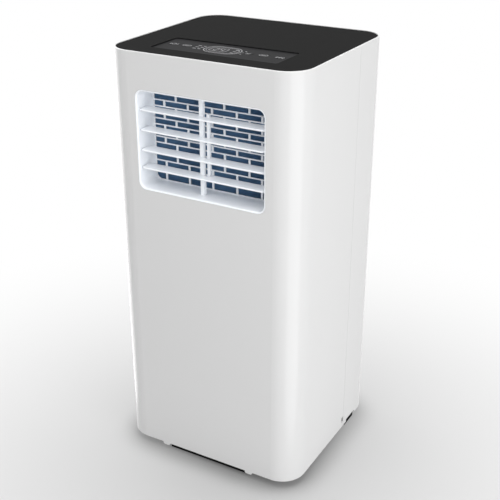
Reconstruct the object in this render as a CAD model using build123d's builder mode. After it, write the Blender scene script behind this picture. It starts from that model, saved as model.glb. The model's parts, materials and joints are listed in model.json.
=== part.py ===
from build123d import *
import os

os.makedirs("parts", exist_ok=True)

# Portable air conditioner, millimetres. Front is -Y, up is +Z, the floor is Z = 0 under the middle.

# Casing
OVERALL_HEIGHT = 670.0
BODY_WIDTH = 318.0
BODY_DEPTH = 290.0
CORNER_RADIUS = 40.0
GROUND_CLEARANCE = 12.0
WALL = 2.5
RIM_ROUNDING = 1.0
FIT_GAP = 0.3
CUT = 1.0
LEDGE_WIDTH = 3.5
LEDGE_THICKNESS = 2.5
SEAM_FROM_BACK = 100.0
SEAM_GAP = 0.3
SEAM_LIP_REACH = 8.0
SEAM_LIP_THICKNESS = 2.0
SEAM_LIP_CLEARANCE = 30.0
SEAM_NOTCH_WIDTH = 7.0
SEAM_NOTCH_BASE = 9.0
SEAM_NOTCH_HEIGHT = 10.0
SIDE_RELIEF_START = 13.0
SIDE_RELIEF_LENGTH = 34.0
SIDE_RELIEF_HEIGHT = 4.6

# Base pan and casters
PAN_RECESS = 2.0
PAN_HEIGHT = 42.0
PAN_WALL = 3.0
PAN_FLOOR = 3.0
PLATFORM_HEIGHT = 30.0
RUNNER_HALF_SPACING = 84.0
RUNNER_WIDTH = 4.0
FRONT_RAIL_HALF_LENGTH = 71.0
FRONT_RAIL_DROP = 7.0
SIDE_RAIL_DROP = 8.0
SKIRT_TAB_WIDTH = 13.0
SKIRT_TAB_DROP = 4.5
SKIRT_TAB_ROUNDING = 3.5
CASTER_FROM_SIDE = 80.0
CASTER_FROM_FRONT = 31.0
CASTER_TRAIL = 10.0
WHEEL_RADIUS = 13.0
WHEEL_WIDTH = 13.0
WHEEL_ROUNDING = 2.0
AXLE_RADIUS = 2.0
AXLE_OVERHANG = 0.6
RUNNING_GAP = 0.08
CHEEK_GAP = 0.6
CHEEK_THICKNESS = 2.5
CHEEK_HALF_LENGTH = 5.0
FORK_PLATE_THICKNESS = 3.0
FORK_PLATE_RADIUS = 13.0
FORK_HEADROOM = 2.0
STEM_RADIUS = 5.0
STEM_WALL = 3.5
WELL_MARGIN = 1.3
WELL_WALL = 2.5

# Top cover and controls
LID_DROP = 0.6
LID_THICKNESS = 3.0
LID_SKIRT = 14.4
LID_SKIRT_WALL = 2.0
LID_ROUNDING = 0.8
PANEL_WIDTH = 206.0
PANEL_DEPTH = 70.0
PANEL_FROM_FRONT = 72.0
PANEL_RADIUS = 4.0
PANEL_RECESS = 1.5
PANEL_RIM = 3.0
PANEL_FLOOR = 2.0
FASCIA_THICKNESS = 2.4
KEY_ROW_BEHIND = 3.0
KEY_POSITIONS = {"key_power": -86.0, "key_timer": -64.0, "key_down": 38.0, "key_up": 62.0, "key_mode": 88.0}
KEY_WIDTH = 16.0
KEY_DEPTH = 11.0
KEY_RADIUS = 5.0
KEY_LIP = 1.2
KEY_LIP_THICKNESS = 0.6
KEY_TRAVEL = 0.8
KEY_SPARE = 0.05
KEY_PROUD = 0.2
KEY_EDGE = 0.15
KEY_STEM_RADIUS = 2.0
KEY_STEM_BELOW_FLOOR = 3.0
KEY_FREE_PLAY = 0.1
SWITCH_SIZE = 6.0
SWITCH_BODY_HEIGHT = 3.6
SWITCH_PLUNGER_RADIUS = 1.7
DISPLAY_OFFSET = -4.0
DISPLAY_WIDTH = 60.0
DISPLAY_DEPTH = 40.0
DISPLAY_RADIUS = 19.0
DISPLAY_SHOULDER = 2.0
DISPLAY_GAP = 0.2
BOARD_THICKNESS = 1.6
BOARD_DROP = 9.0
BOARD_MARGIN = 6.0
BOARD_POST_INSET = 5.0
BOARD_POST_RADIUS = 3.2
BOARD_PIN_RADIUS = 1.2
BOARD_PIN_END = 0.8

# Air outlet and louvre
LOUVRE_WIDTH = 214.0
LOUVRE_HEIGHT = 152.4
LOUVRE_FROM_TOP = 129.7
LOUVRE_RADIUS = 13.0
DUCT_WALL = 2.4
DUCT_DEPTH = 43.8
DUCT_FLANGE = 7.0
DUCT_FLANGE_THICKNESS = 2.5
DUCT_LIP_ROUNDING = 2.0
MULLION_X = -6.2
MULLION_WIDTH = 6.0
MULLION_FRONT = 17.0
MULLION_DEPTH = 6.0
GUARD_THICKNESS = 1.5
GUARD_LEDGE = 0.8
GUARD_FIT = 0.2
GUARD_ROWS = 15
GUARD_ROW_PITCH = 9.35
GUARD_RIB = 1.9
GUARD_LAST_ROW_DROP = 2.6
GUARD_BRICK = 41.0
GUARD_BOND_SHIFT = -3.2
GUARD_BAR = 3.2
GUARD_BORDER = 1.4
GUARD_SHORTEST_SLOT = 4.0
BLADE_COUNT = 4
BLADE_PITCH = 30.4
BLADE_TOP_DROP = 31.6
BLADE_LAST_RISE = 3.1
BLADE_CHORD = 22.0
BLADE_THICKNESS = 2.6
BLADE_SETBACK = 3.0
BLADE_PIVOT_FROM_EDGE = 6.0
BLADE_END_GAP = 0.5
BLADE_CORNER = 6.0
BLADE_EDGE = 1.0
PIVOT_RADIUS = 1.25
PIVOT_LENGTH = 2.0
CRANK_ARM = 12.0
CRANK_PIN_RADIUS = 1.0
CRANK_GAP = 0.3
CRANK_PIN_OVERHANG = 0.6
CRANK_NOTCH_SIDE = 1.2
CRANK_NOTCH_FRONT = 4.5
TIE_BAR_X = 4.0
TIE_BAR_WIDTH = 4.4
TIE_BAR_DEPTH = 4.2
TIE_BAR_END = 5.0

# Cold side: evaporator and blower above the divider deck
COIL_GAP = 1.0
EVAPORATOR_WIDTH = 224.0
EVAPORATOR_DEPTH = 36.0
EVAPORATOR_OVER_LOUVRE = 13.5
FIN_PITCH = 4.0
FIN_GAP = 2.4
FIN_GAP_DEPTH = 10.0
TUBE_RADIUS = 4.0
TUBE_GAP = 0.1
TUBE_ROW_PITCH = 28.0
TUBE_STUB = 3.0
EVAPORATOR_ROWS = 6
BLOWER_WIDTH = 252.0
BLOWER_WALL = 2.0
BLOWER_HEADROOM = 10.0
INTAKE_PLENUM = 75.0
BLOWER_INLET_RADIUS = 62.0
BLOWER_RADIUS = 85.0
BLOWER_DRUM = 52.0
WHEEL_TO_WALL = 8.0
WHEEL_PLATE = 2.0
WHEEL_RING_WIDTH = 17.0
WHEEL_HUB_RADIUS = 14.0
WHEEL_HUB_LENGTH = 24.0
VANE_COUNT = 24
VANE_LENGTH = 17.0
VANE_THICKNESS = 1.8
VANE_LEAN = 35.0
VANE_INSET = 11.0
SHAFT_RADIUS = 4.0
SHAFT_IN_MOTOR = 22.0
MOTOR_GAP = 6.0
BLOWER_MOTOR_RADIUS = 42.0
BLOWER_MOTOR_LENGTH = 46.0
MOTOR_ROUNDING = 5.0
BRACKET_WIDTH = 40.0
BRACKET_THICKNESS = 3.0
DECK_BELOW_LOUVRE = 34.1
DECK_INSET = 4.5
DECK_THICKNESS = 3.0
DECK_RIM = 12.0
DECK_RIM_WALL = 2.0
DECK_GAP = 2.0

# Hot side: compressor, condenser and its fan under the deck
FAN_BOX_WIDTH = 200.0
FAN_BOX_DEPTH = 76.0
FAN_BOX_WALL = 2.0
FAN_CENTRE_HEIGHT = 106.0
FAN_INLET_RADIUS = 52.0
FAN_RADIUS = 72.0
FAN_DRUM = 48.0
FAN_MOTOR_RADIUS = 34.0
FAN_MOTOR_LENGTH = 40.0
CONDENSER_WIDTH = 200.0
CONDENSER_HEIGHT = 192.0
CONDENSER_DEPTH = 34.0
CONDENSER_FROM_BACK = 59.0
CONDENSER_ROWS = 7
COMPRESSOR_RADIUS = 52.0
COMPRESSOR_HEIGHT = 200.0
COMPRESSOR_ROUNDING = 18.0
COMPRESSOR_FROM_SIDE = 79.0
COMPRESSOR_FROM_FRONT = 73.0
FOOT_CIRCLE = 62.0
FOOT_PAD_RADIUS = 10.0
FOOT_PLATE = 3.0
FOOT_BOSS_HEIGHT = 23.0
GROMMET_RADIUS = 9.0
GROMMET_HEIGHT = 10.0
GROMMET_BORE = 3.2
ACCUMULATOR_RADIUS = 20.0
ACCUMULATOR_GAP = 2.0
ACCUMULATOR_RAISE = 42.0
ACCUMULATOR_HEIGHT = 135.0
ACCUMULATOR_ROUNDING = 8.0
STRAP_WIDTH = 16.0
STRAP_HEIGHT = 20.0
BOX_FROM_SIDE = 17.0
BOX_FROM_FRONT = 17.0
BOX_WIDTH = 94.0
BOX_DEPTH = 66.0
BOX_HEIGHT = 166.0
BOX_WALL = 2.0
STANDOFF_LENGTH = 4.0
STANDOFF_SIZE = 8.0
MAIN_BOARD_MARGIN = 6.0
POST_SIZE = 14.0
POST_WALL = 1.2
FRONT_POST_FROM_SIDE = 19.0
FRONT_POST_FROM_FRONT = 105.0
REAR_POST_FROM_SIDE = 33.0
REAR_POST_FROM_BACK = 17.0
REAR_POST_FROM_TOP = 30.0
PIPE_RADIUS = 4.0
PIPE_BEND = 12.0
PIPE_HOLE_GAP = 2.0
PIPE_SIDE_CLEAR = 17.0
DISCHARGE_RISE = 57.0
DISCHARGE_FROM_SIDE = 35.0
SUCTION_FROM_SIDE = 23.0
SUCTION_BELOW_DECK = 50.0

# Rear fittings
EXHAUST_BELOW_DECK = 90.0
EXHAUST_RADIUS = 65.0
COLLAR_WALL = 4.0
COLLAR_FLANGE = 11.0
COLLAR_FLANGE_THICKNESS = 3.0
COLLAR_RECESS = 1.0
COLLAR_GUARD_BAR = 4.0
COLLAR_GUARD_DEPTH = 3.0
COLLAR_GUARD_RING = 34.0
COLLAR_LIP = 3.0
GRILLE_WIDTH = 220.0
UPPER_GRILLE_HEIGHT = 178.0
UPPER_GRILLE_ABOVE_DECK = 32.0
LOWER_GRILLE_WIDTH = 190.0
LOWER_GRILLE_HEIGHT = 150.0
LOWER_GRILLE_ABOVE_FLOOR = 70.0
GRILLE_THICKNESS = 4.5
GRILLE_RADIUS = 6.0
GRILLE_GAP = 0.5
GRILLE_LEDGE = 4.0
GRILLE_SEAT_GAP = 0.2
GRILLE_FRAME = 6.0
GRILLE_BORDER = 9.0
GRILLE_SLOT_PITCH = 12.0
GRILLE_SLAT = 4.5
GRILLE_COLUMNS = 3
GRILLE_STILE = 5.0
FILTER_THICKNESS = 3.0
FILTER_BORDER = 6.0
FILTER_COLUMNS = 14
FILTER_ROWS = 11
FILTER_RIB = 1.6
SCREW_RADIUS = 1.5
SCREW_HEAD_RADIUS = 4.0
SCREW_HEAD_HEIGHT = 2.2
SCREW_HEAD_GAP = 0.4
SCREW_HOLE_GAP = 0.2
SCREW_LENGTH = 16.0
SCREW_SEAT = 3.6
SCREW_BOSS_RADIUS = 6.5
SCREW_DRIVE_WIDTH = 1.0
SCREW_DRIVE_LENGTH = 4.4
SCREW_DRIVE_DEPTH = 1.1
LOWER_SCREW_HEIGHT = 80.0
MIDDLE_SCREW_HEIGHT = 300.0
UPPER_SCREW_FROM_TOP = 60.0
GLAND_FROM_SIDE = 56.0
GLAND_HEIGHT = 248.0
GLAND_BORE = 4.5
GLAND_WALL = 4.0
GLAND_FLANGE = 4.0
GLAND_FLANGE_THICKNESS = 3.0
GLAND_RECESS = 0.2
DRAIN_BORE = 4.5
DRAIN_SPOUT_WALL = 3.5
DRAIN_SPOUT_LENGTH = 16.0
DRAIN_RISE = 6.0
PLUG_FIT = 0.1
PLUG_STEM_LENGTH = 12.0
PLUG_HEAD_RADIUS = 9.5
PLUG_HEAD_HEIGHT = 2.2
PLUG_HEAD_ROUNDING = 0.6
PLUG_HOLE_GAP = 1.5
PLUG_SLOT_WIDTH = 2.0
PLUG_SLOT_DEPTH = 1.2
UPPER_DRAIN_X = -62.0

# Places that follow from the sizes above
FRONT_Y = -BODY_DEPTH / 2
BACK_Y = BODY_DEPTH / 2
SIDE_X = BODY_WIDTH / 2
INNER_WIDTH = BODY_WIDTH - 2 * WALL
INNER_DEPTH = BODY_DEPTH - 2 * WALL
INNER_RADIUS = CORNER_RADIUS - WALL
INNER_FRONT_Y = FRONT_Y + WALL
INNER_BACK_Y = BACK_Y - WALL
SEAM_Y = BACK_Y - SEAM_FROM_BACK

PAN_BOTTOM = GROUND_CLEARANCE + PAN_RECESS
PAN_TOP = PAN_BOTTOM + PAN_HEIGHT
PAN_FLOOR_Z = PAN_BOTTOM + PAN_FLOOR
PLATFORM_Z = PAN_BOTTOM + PLATFORM_HEIGHT
PAN_WIDTH = INNER_WIDTH - 2 * FIT_GAP
PAN_DEPTH = INNER_DEPTH - 2 * FIT_GAP
PAN_RADIUS = INNER_RADIUS - FIT_GAP

LID_TOP = OVERALL_HEIGHT - LID_DROP
LID_LEDGE_Z = LID_TOP - LID_SKIRT
LID_WIDTH = INNER_WIDTH - 2 * FIT_GAP
LID_DEPTH = INNER_DEPTH - 2 * FIT_GAP
LID_RADIUS = INNER_RADIUS - FIT_GAP
PANEL_Y = FRONT_Y + PANEL_FROM_FRONT
KEY_Y = PANEL_Y + KEY_ROW_BEHIND
FASCIA_TOP = LID_TOP - PANEL_RECESS
FASCIA_BOTTOM = FASCIA_TOP - FASCIA_THICKNESS
PANEL_FLOOR_BOTTOM = FASCIA_BOTTOM - PANEL_FLOOR
KEY_LIP_BOTTOM = FASCIA_BOTTOM + KEY_TRAVEL + KEY_SPARE
KEY_LIP_TOP = KEY_LIP_BOTTOM + KEY_LIP_THICKNESS
KEY_STEM_BOTTOM = PANEL_FLOOR_BOTTOM - KEY_STEM_BELOW_FLOOR
SWITCH_TOP = KEY_STEM_BOTTOM - KEY_TRAVEL - KEY_FREE_PLAY
BOARD_TOP = PANEL_FLOOR_BOTTOM - BOARD_DROP
BOARD_WIDTH = PANEL_WIDTH - 2 * BOARD_MARGIN
BOARD_DEPTH = PANEL_DEPTH - 2 * BOARD_MARGIN

LOUVRE_Z = OVERALL_HEIGHT - LOUVRE_FROM_TOP
LOUVRE_TOP = LOUVRE_Z + LOUVRE_HEIGHT / 2
LOUVRE_BOTTOM = LOUVRE_Z - LOUVRE_HEIGHT / 2
DUCT_OUTER_WIDTH = LOUVRE_WIDTH - 2 * FIT_GAP
DUCT_OUTER_HEIGHT = LOUVRE_HEIGHT - 2 * FIT_GAP
DUCT_OUTER_RADIUS = LOUVRE_RADIUS - FIT_GAP
DUCT_WIDTH = DUCT_OUTER_WIDTH - 2 * DUCT_WALL
DUCT_HEIGHT = DUCT_OUTER_HEIGHT - 2 * DUCT_WALL
DUCT_RADIUS = DUCT_OUTER_RADIUS - DUCT_WALL
DUCT_BACK_Y = FRONT_Y + DUCT_DEPTH
GUARD_BACK_Y = DUCT_BACK_Y - GUARD_LEDGE
GUARD_FRONT_Y = GUARD_BACK_Y - GUARD_THICKNESS
BLADE_FRONT_Y = FRONT_Y + BLADE_SETBACK
BLADE_BACK_Y = BLADE_FRONT_Y + BLADE_CHORD
PIVOT_Y = BLADE_FRONT_Y + BLADE_PIVOT_FROM_EDGE
CRANK_Y = PIVOT_Y + CRANK_ARM
BLADE_LENGTH = DUCT_WIDTH - 2 * BLADE_END_GAP
BLADE_HEIGHTS = [LOUVRE_TOP - BLADE_TOP_DROP - row * BLADE_PITCH for row in range(BLADE_COUNT)]
BLADE_HEIGHTS[-1] += BLADE_LAST_RISE

DECK_TOP = LOUVRE_BOTTOM - DECK_BELOW_LOUVRE + DECK_THICKNESS
DECK_BOTTOM = DECK_TOP - DECK_THICKNESS
EVAPORATOR_FRONT_Y = DUCT_BACK_Y + COIL_GAP
EVAPORATOR_BACK_Y = EVAPORATOR_FRONT_Y + EVAPORATOR_DEPTH
EVAPORATOR_TOP = LOUVRE_TOP + EVAPORATOR_OVER_LOUVRE
BLOWER_FRONT_Y = EVAPORATOR_BACK_Y + COIL_GAP
BLOWER_BACK_Y = BACK_Y - INTAKE_PLENUM
BLOWER_TOP = LID_LEDGE_Z - LEDGE_THICKNESS - BLOWER_HEADROOM
BLOWER_Z = (DECK_TOP + BLOWER_TOP) / 2
BLOWER_RING_Y = BLOWER_BACK_Y - BLOWER_WALL - WHEEL_TO_WALL
BLOWER_PLATE_Y = BLOWER_RING_Y - BLOWER_DRUM
BLOWER_MOTOR_Y = BLOWER_PLATE_Y - MOTOR_GAP
BRACKET_Y = BLOWER_MOTOR_Y - BLOWER_MOTOR_LENGTH

CONDENSER_FRONT_Y = BACK_Y - CONDENSER_FROM_BACK
FAN_COVER_Y = CONDENSER_FRONT_Y - COIL_GAP - FAN_BOX_WALL
FAN_BOX_FRONT_Y = FAN_COVER_Y - FAN_BOX_DEPTH
FAN_Z = PLATFORM_Z + FAN_CENTRE_HEIGHT
FAN_RING_Y = FAN_COVER_Y - WHEEL_TO_WALL
FAN_PLATE_Y = FAN_RING_Y - FAN_DRUM
EXHAUST_Z = DECK_BOTTOM - EXHAUST_BELOW_DECK
COMPRESSOR_X = -SIDE_X + COMPRESSOR_FROM_SIDE
COMPRESSOR_Y = FRONT_Y + COMPRESSOR_FROM_FRONT
FOOT_BOSS_TOP = PAN_FLOOR_Z + FOOT_BOSS_HEIGHT
COMPRESSOR_BASE = FOOT_BOSS_TOP + GROMMET_HEIGHT
COMPRESSOR_TOP = COMPRESSOR_BASE + FOOT_PLATE + COMPRESSOR_HEIGHT
ACCUMULATOR_X = COMPRESSOR_X + COMPRESSOR_RADIUS + ACCUMULATOR_GAP + ACCUMULATOR_RADIUS
ACCUMULATOR_BASE = COMPRESSOR_BASE + ACCUMULATOR_RAISE
ACCUMULATOR_TOP = ACCUMULATOR_BASE + ACCUMULATOR_HEIGHT
BOX_RIGHT = SIDE_X - BOX_FROM_SIDE
BOX_FRONT = FRONT_Y + BOX_FROM_FRONT
REAR_POST_X = SIDE_X - REAR_POST_FROM_SIDE
REAR_POST_Y = BACK_Y - REAR_POST_FROM_BACK
REAR_POST_FACE_Y = REAR_POST_Y + POST_SIZE / 2
REAR_POST_TOP = OVERALL_HEIGHT - REAR_POST_FROM_TOP
UPPER_GRILLE_Z = DECK_TOP + UPPER_GRILLE_ABOVE_DECK + UPPER_GRILLE_HEIGHT / 2
LOWER_GRILLE_Z = LOWER_GRILLE_ABOVE_FLOOR + LOWER_GRILLE_HEIGHT / 2
GRILLE_SEAT_Y = BACK_Y - GRILLE_THICKNESS - GRILLE_SEAT_GAP
SCREW_SEAT_Y = BACK_Y - SCREW_SEAT
SCREW_HEIGHTS = [LOWER_SCREW_HEIGHT, MIDDLE_SCREW_HEIGHT, OVERALL_HEIGHT - UPPER_SCREW_FROM_TOP]
SCREW_PLACES = [(side * REAR_POST_X, z) for side in (-1, 1) for z in SCREW_HEIGHTS]
DRAIN_SEAT_Y = INNER_BACK_Y - FIT_GAP
UPPER_DRAIN_Z = DECK_TOP + DRAIN_RISE
LOWER_DRAIN_Z = PAN_FLOOR_Z + DRAIN_RISE + DRAIN_SPOUT_WALL
DRAIN_PLACES = {"drain_plug_upper": (UPPER_DRAIN_X, UPPER_DRAIN_Z), "drain_plug_lower": (0.0, LOWER_DRAIN_Z)}
GLAND_X = SIDE_X - GLAND_FROM_SIDE

CASTER_X = SIDE_X - CASTER_FROM_SIDE
CASTER_Y = BACK_Y - CASTER_FROM_FRONT
CASTERS = {
    "front_left": (-CASTER_X, -CASTER_Y),
    "front_right": (CASTER_X, -CASTER_Y),
    "rear_left": (-CASTER_X, CASTER_Y),
    "rear_right": (CASTER_X, CASTER_Y),
}
CHEEK_INNER_X = WHEEL_WIDTH / 2 + CHEEK_GAP
CHEEK_OUTER_X = CHEEK_INNER_X + CHEEK_THICKNESS
FORK_PLATE_BOTTOM = 2 * WHEEL_RADIUS + FORK_HEADROOM
FORK_PLATE_TOP = FORK_PLATE_BOTTOM + FORK_PLATE_THICKNESS
WELL_ROOF = FORK_PLATE_TOP + FIT_GAP
WELL_RADIUS = ((CASTER_TRAIL + WHEEL_RADIUS) ** 2 + (WHEEL_WIDTH / 2) ** 2) ** 0.5 + WELL_MARGIN


def slab(width, depth, radius, bottom, top, mode=Mode.ADD, centre=(0.0, 0.0)):
    """Add an upright block with rounded corners to the part in hand."""
    with BuildSketch(Plane.XY.offset(bottom)) as outline:
        with Locations(centre):
            RectangleRounded(width, depth, radius)
    extrude(outline.sketch, amount=top - bottom, mode=mode)


def panel(width, height, radius, centre_z, front, back, mode=Mode.ADD):
    """Add a block that faces front and back, with rounded corners in that view."""
    with BuildSketch(Plane.XZ.offset(-front)) as outline:
        with Locations((0, centre_z)):
            RectangleRounded(width, height, radius)
    extrude(outline.sketch, amount=front - back, mode=mode)


def block(x_low, x_high, y_low, y_high, z_low, z_high, mode=Mode.ADD):
    """Add a plain block between two corners."""
    with Locations(((x_low + x_high) / 2, (y_low + y_high) / 2, (z_low + z_high) / 2)):
        Box(x_high - x_low, y_high - y_low, z_high - z_low, mode=mode)


def rod_x(y, z, left, right, radius, mode=Mode.ADD):
    """Add a round bar that runs from side to side."""
    with Locations(((left + right) / 2, y, z)):
        Cylinder(radius, right - left, rotation=(0, 90, 0), mode=mode)


def rod_y(x, z, front, back, radius, mode=Mode.ADD):
    """Add a round bar that runs from front to back."""
    with Locations((x, (front + back) / 2, z)):
        Cylinder(radius, back - front, rotation=(90, 0, 0), mode=mode)


def rod_z(x, y, bottom, top, radius, mode=Mode.ADD):
    """Add an upright round bar."""
    with Locations((x, y, (bottom + top) / 2)):
        Cylinder(radius, top - bottom, mode=mode)


def save(builder, name):
    """Label a finished piece and write it to its own file."""
    builder.part.label = name
    export_step(builder.part, f"parts/{name}.step")


def casing(builder):
    """Add the whole outer wall, with ledges that stand on the base pan and carry the top cover."""
    slab(BODY_WIDTH, BODY_DEPTH, CORNER_RADIUS, GROUND_CLEARANCE, OVERALL_HEIGHT)
    fillet(builder.faces().sort_by(Axis.Z)[-1].edges(), RIM_ROUNDING)
    levels = [
        (GROUND_CLEARANCE, PAN_TOP, 0.0),
        (PAN_TOP, PAN_TOP + LEDGE_THICKNESS, LEDGE_WIDTH),
        (PAN_TOP + LEDGE_THICKNESS, LID_LEDGE_Z - LEDGE_THICKNESS, 0.0),
        (LID_LEDGE_Z - LEDGE_THICKNESS, LID_LEDGE_Z, LEDGE_WIDTH),
        (LID_LEDGE_Z, OVERALL_HEIGHT, 0.0),
    ]
    for bottom, top, inset in levels:
        width = INNER_WIDTH - 2 * inset
        depth = INNER_DEPTH - 2 * inset
        slab(width, depth, INNER_RADIUS - inset, bottom, top, Mode.SUBTRACT)


# Front shell: front face and both sides as far as the seam
with BuildPart() as front_shell:
    casing(front_shell)
    FRONT_END_Y = SEAM_Y - SEAM_GAP / 2
    block(-SIDE_X, SIDE_X, FRONT_END_Y, BACK_Y, GROUND_CLEARANCE, OVERALL_HEIGHT, Mode.SUBTRACT)
    panel(LOUVRE_WIDTH, LOUVRE_HEIGHT, LOUVRE_RADIUS, LOUVRE_Z, FRONT_Y, INNER_FRONT_Y, Mode.SUBTRACT)
    NOTCH_BOTTOM = GROUND_CLEARANCE + SEAM_NOTCH_BASE
    NOTCH_TOP = NOTCH_BOTTOM + SEAM_NOTCH_HEIGHT
    NOTCH_FRONT_Y = FRONT_END_Y - SEAM_NOTCH_WIDTH
    block(-SIDE_X, SIDE_X, NOTCH_FRONT_Y, FRONT_END_Y, NOTCH_BOTTOM, NOTCH_TOP, Mode.SUBTRACT)
    with BuildSketch(Plane.XZ.offset(-FRONT_Y)) as skirt_tabs:
        with Locations((-CASTER_X, GROUND_CLEARANCE), (CASTER_X, GROUND_CLEARANCE)):
            RectangleRounded(SKIRT_TAB_WIDTH, 2 * SKIRT_TAB_DROP, SKIRT_TAB_ROUNDING)
    extrude(skirt_tabs.sketch, amount=-WALL)
save(front_shell, "front_shell")


def grille_seat(width, height, centre_z):
    """Cut a grille's opening in the back wall, and give it a frame with a ledge behind."""
    frame = 2 * GRILLE_FRAME
    ledge = 2 * GRILLE_LEDGE
    ledge_back = GRILLE_SEAT_Y - LEDGE_THICKNESS
    panel(width + frame, height + frame, GRILLE_RADIUS + GRILLE_FRAME, centre_z, ledge_back, INNER_BACK_Y)
    panel(width, height, GRILLE_RADIUS, centre_z, GRILLE_SEAT_Y, BACK_Y, Mode.SUBTRACT)
    narrow = (width - ledge, height - ledge, GRILLE_RADIUS - GRILLE_LEDGE / 2)
    panel(*narrow, centre_z, ledge_back, GRILLE_SEAT_Y, Mode.SUBTRACT)


# Rear cover: back face and the sides behind the seam
with BuildPart() as rear_cover:
    casing(rear_cover)
    REAR_START_Y = SEAM_Y + SEAM_GAP / 2
    block(-SIDE_X, SIDE_X, FRONT_Y, REAR_START_Y, GROUND_CLEARANCE, OVERALL_HEIGHT, Mode.SUBTRACT)
    LIP_BOTTOM = PAN_TOP + SEAM_LIP_CLEARANCE
    LIP_TOP = LID_LEDGE_Z - SEAM_LIP_CLEARANCE
    LIP_OUTER_X = INNER_WIDTH / 2 - FIT_GAP
    LIP_INNER_X = LIP_OUTER_X - SEAM_LIP_THICKNESS
    LIP_FRONT_Y = SEAM_Y - SEAM_LIP_REACH
    LIP_BACK_Y = SEAM_Y + SEAM_LIP_REACH
    for side in (-1, 1):
        lip = sorted((side * LIP_INNER_X, side * LIP_OUTER_X))
        root = sorted((side * LIP_INNER_X, side * (INNER_WIDTH / 2 + FIT_GAP)))
        block(*lip, LIP_FRONT_Y, LIP_BACK_Y, LIP_BOTTOM, LIP_TOP)
        block(*root, REAR_START_Y, LIP_BACK_Y, LIP_BOTTOM, LIP_TOP)
    grille_seat(GRILLE_WIDTH, UPPER_GRILLE_HEIGHT, UPPER_GRILLE_Z)
    grille_seat(LOWER_GRILLE_WIDTH, LOWER_GRILLE_HEIGHT, LOWER_GRILLE_Z)
    for x, z in SCREW_PLACES:
        rod_y(x, z, REAR_POST_FACE_Y, SCREW_SEAT_Y + CUT, SCREW_BOSS_RADIUS)
        rod_y(x, z, SCREW_SEAT_Y, BACK_Y, SCREW_HEAD_RADIUS + SCREW_HEAD_GAP, Mode.SUBTRACT)
        rod_y(x, z, REAR_POST_FACE_Y, SCREW_SEAT_Y, SCREW_RADIUS + SCREW_HOLE_GAP, Mode.SUBTRACT)
    rod_y(0, EXHAUST_Z, INNER_BACK_Y, BACK_Y, EXHAUST_RADIUS + COLLAR_WALL + FIT_GAP, Mode.SUBTRACT)
    rod_y(GLAND_X, GLAND_HEIGHT, INNER_BACK_Y, BACK_Y, GLAND_BORE + GLAND_WALL + FIT_GAP, Mode.SUBTRACT)
    for x, z in DRAIN_PLACES.values():
        rod_y(x, z, INNER_BACK_Y, BACK_Y, PLUG_HEAD_RADIUS + PLUG_HOLE_GAP, Mode.SUBTRACT)
    RELIEF_FRONT_Y = SEAM_Y + SIDE_RELIEF_START
    RELIEF_BACK_Y = RELIEF_FRONT_Y + SIDE_RELIEF_LENGTH
    RELIEF_TOP = GROUND_CLEARANCE + SIDE_RELIEF_HEIGHT
    block(-SIDE_X, SIDE_X, RELIEF_FRONT_Y, RELIEF_BACK_Y, GROUND_CLEARANCE, RELIEF_TOP, Mode.SUBTRACT)
save(rear_cover, "rear_cover")

# Feet of the compressor, on a triangle round its axis
with BuildSketch(Plane.XY) as foot_circle:
    with Locations((COMPRESSOR_X, COMPRESSOR_Y)):
        with PolarLocations(FOOT_CIRCLE, 3, start_angle=90):
            Circle(FOOT_PAD_RADIUS)
FOOT_PLACES = [(face.center().X, face.center().Y) for face in foot_circle.sketch.faces()]

# Base pan: tray with a well over each caster
with BuildPart() as base_pan:
    slab(PAN_WIDTH, PAN_DEPTH, PAN_RADIUS, PAN_BOTTOM, PAN_TOP)
    PAN_INSET = 2 * PAN_WALL
    inside = (PAN_WIDTH - PAN_INSET, PAN_DEPTH - PAN_INSET, PAN_RADIUS - PAN_WALL)
    slab(*inside, PAN_FLOOR_Z, PAN_TOP, Mode.SUBTRACT)
    RUNNER_BACK_Y = CONDENSER_FRONT_Y + CONDENSER_DEPTH
    for side in (-1, 1):
        left = side * RUNNER_HALF_SPACING - RUNNER_WIDTH / 2
        block(left, left + RUNNER_WIDTH, FAN_BOX_FRONT_Y, RUNNER_BACK_Y, PAN_BOTTOM, PLATFORM_Z)
    PAN_FRONT_Y = -PAN_DEPTH / 2
    RAIL_BOTTOM = GROUND_CLEARANCE - FRONT_RAIL_DROP
    rail_x = (-FRONT_RAIL_HALF_LENGTH, FRONT_RAIL_HALF_LENGTH)
    block(*rail_x, PAN_FRONT_Y, PAN_FRONT_Y + PAN_WALL, RAIL_BOTTOM, PAN_FLOOR_Z)
    SIDE_RAIL_BOTTOM = GROUND_CLEARANCE - SIDE_RAIL_DROP
    for side in (-1, 1):
        side_rail = sorted((side * (PAN_WIDTH / 2 - PAN_WALL), side * PAN_WIDTH / 2))
        block(*side_rail, RELIEF_FRONT_Y, RELIEF_BACK_Y, SIDE_RAIL_BOTTOM, PAN_FLOOR_Z)
    for x, y in FOOT_PLACES:
        rod_z(x, y, PAN_BOTTOM, FOOT_BOSS_TOP, GROMMET_RADIUS)
    for x, y in CASTERS.values():
        rod_z(x, y, PAN_BOTTOM, WELL_ROOF + WELL_WALL, WELL_RADIUS + WELL_WALL)
        rod_z(x, y, PAN_BOTTOM, PLATFORM_Z, STEM_RADIUS + STEM_WALL)
    for x, y in CASTERS.values():
        rod_z(x, y, PAN_BOTTOM, WELL_ROOF, WELL_RADIUS, Mode.SUBTRACT)
        rod_z(x, y, WELL_ROOF, PLATFORM_Z, STEM_RADIUS + RUNNING_GAP, Mode.SUBTRACT)
    SPOUT_START_Y = DRAIN_SEAT_Y - DRAIN_SPOUT_LENGTH
    rod_y(0, LOWER_DRAIN_Z, SPOUT_START_Y, DRAIN_SEAT_Y, DRAIN_BORE + DRAIN_SPOUT_WALL)
    rod_y(0, LOWER_DRAIN_Z, SPOUT_START_Y, DRAIN_SEAT_Y, DRAIN_BORE, Mode.SUBTRACT)
save(base_pan, "base_pan")

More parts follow.
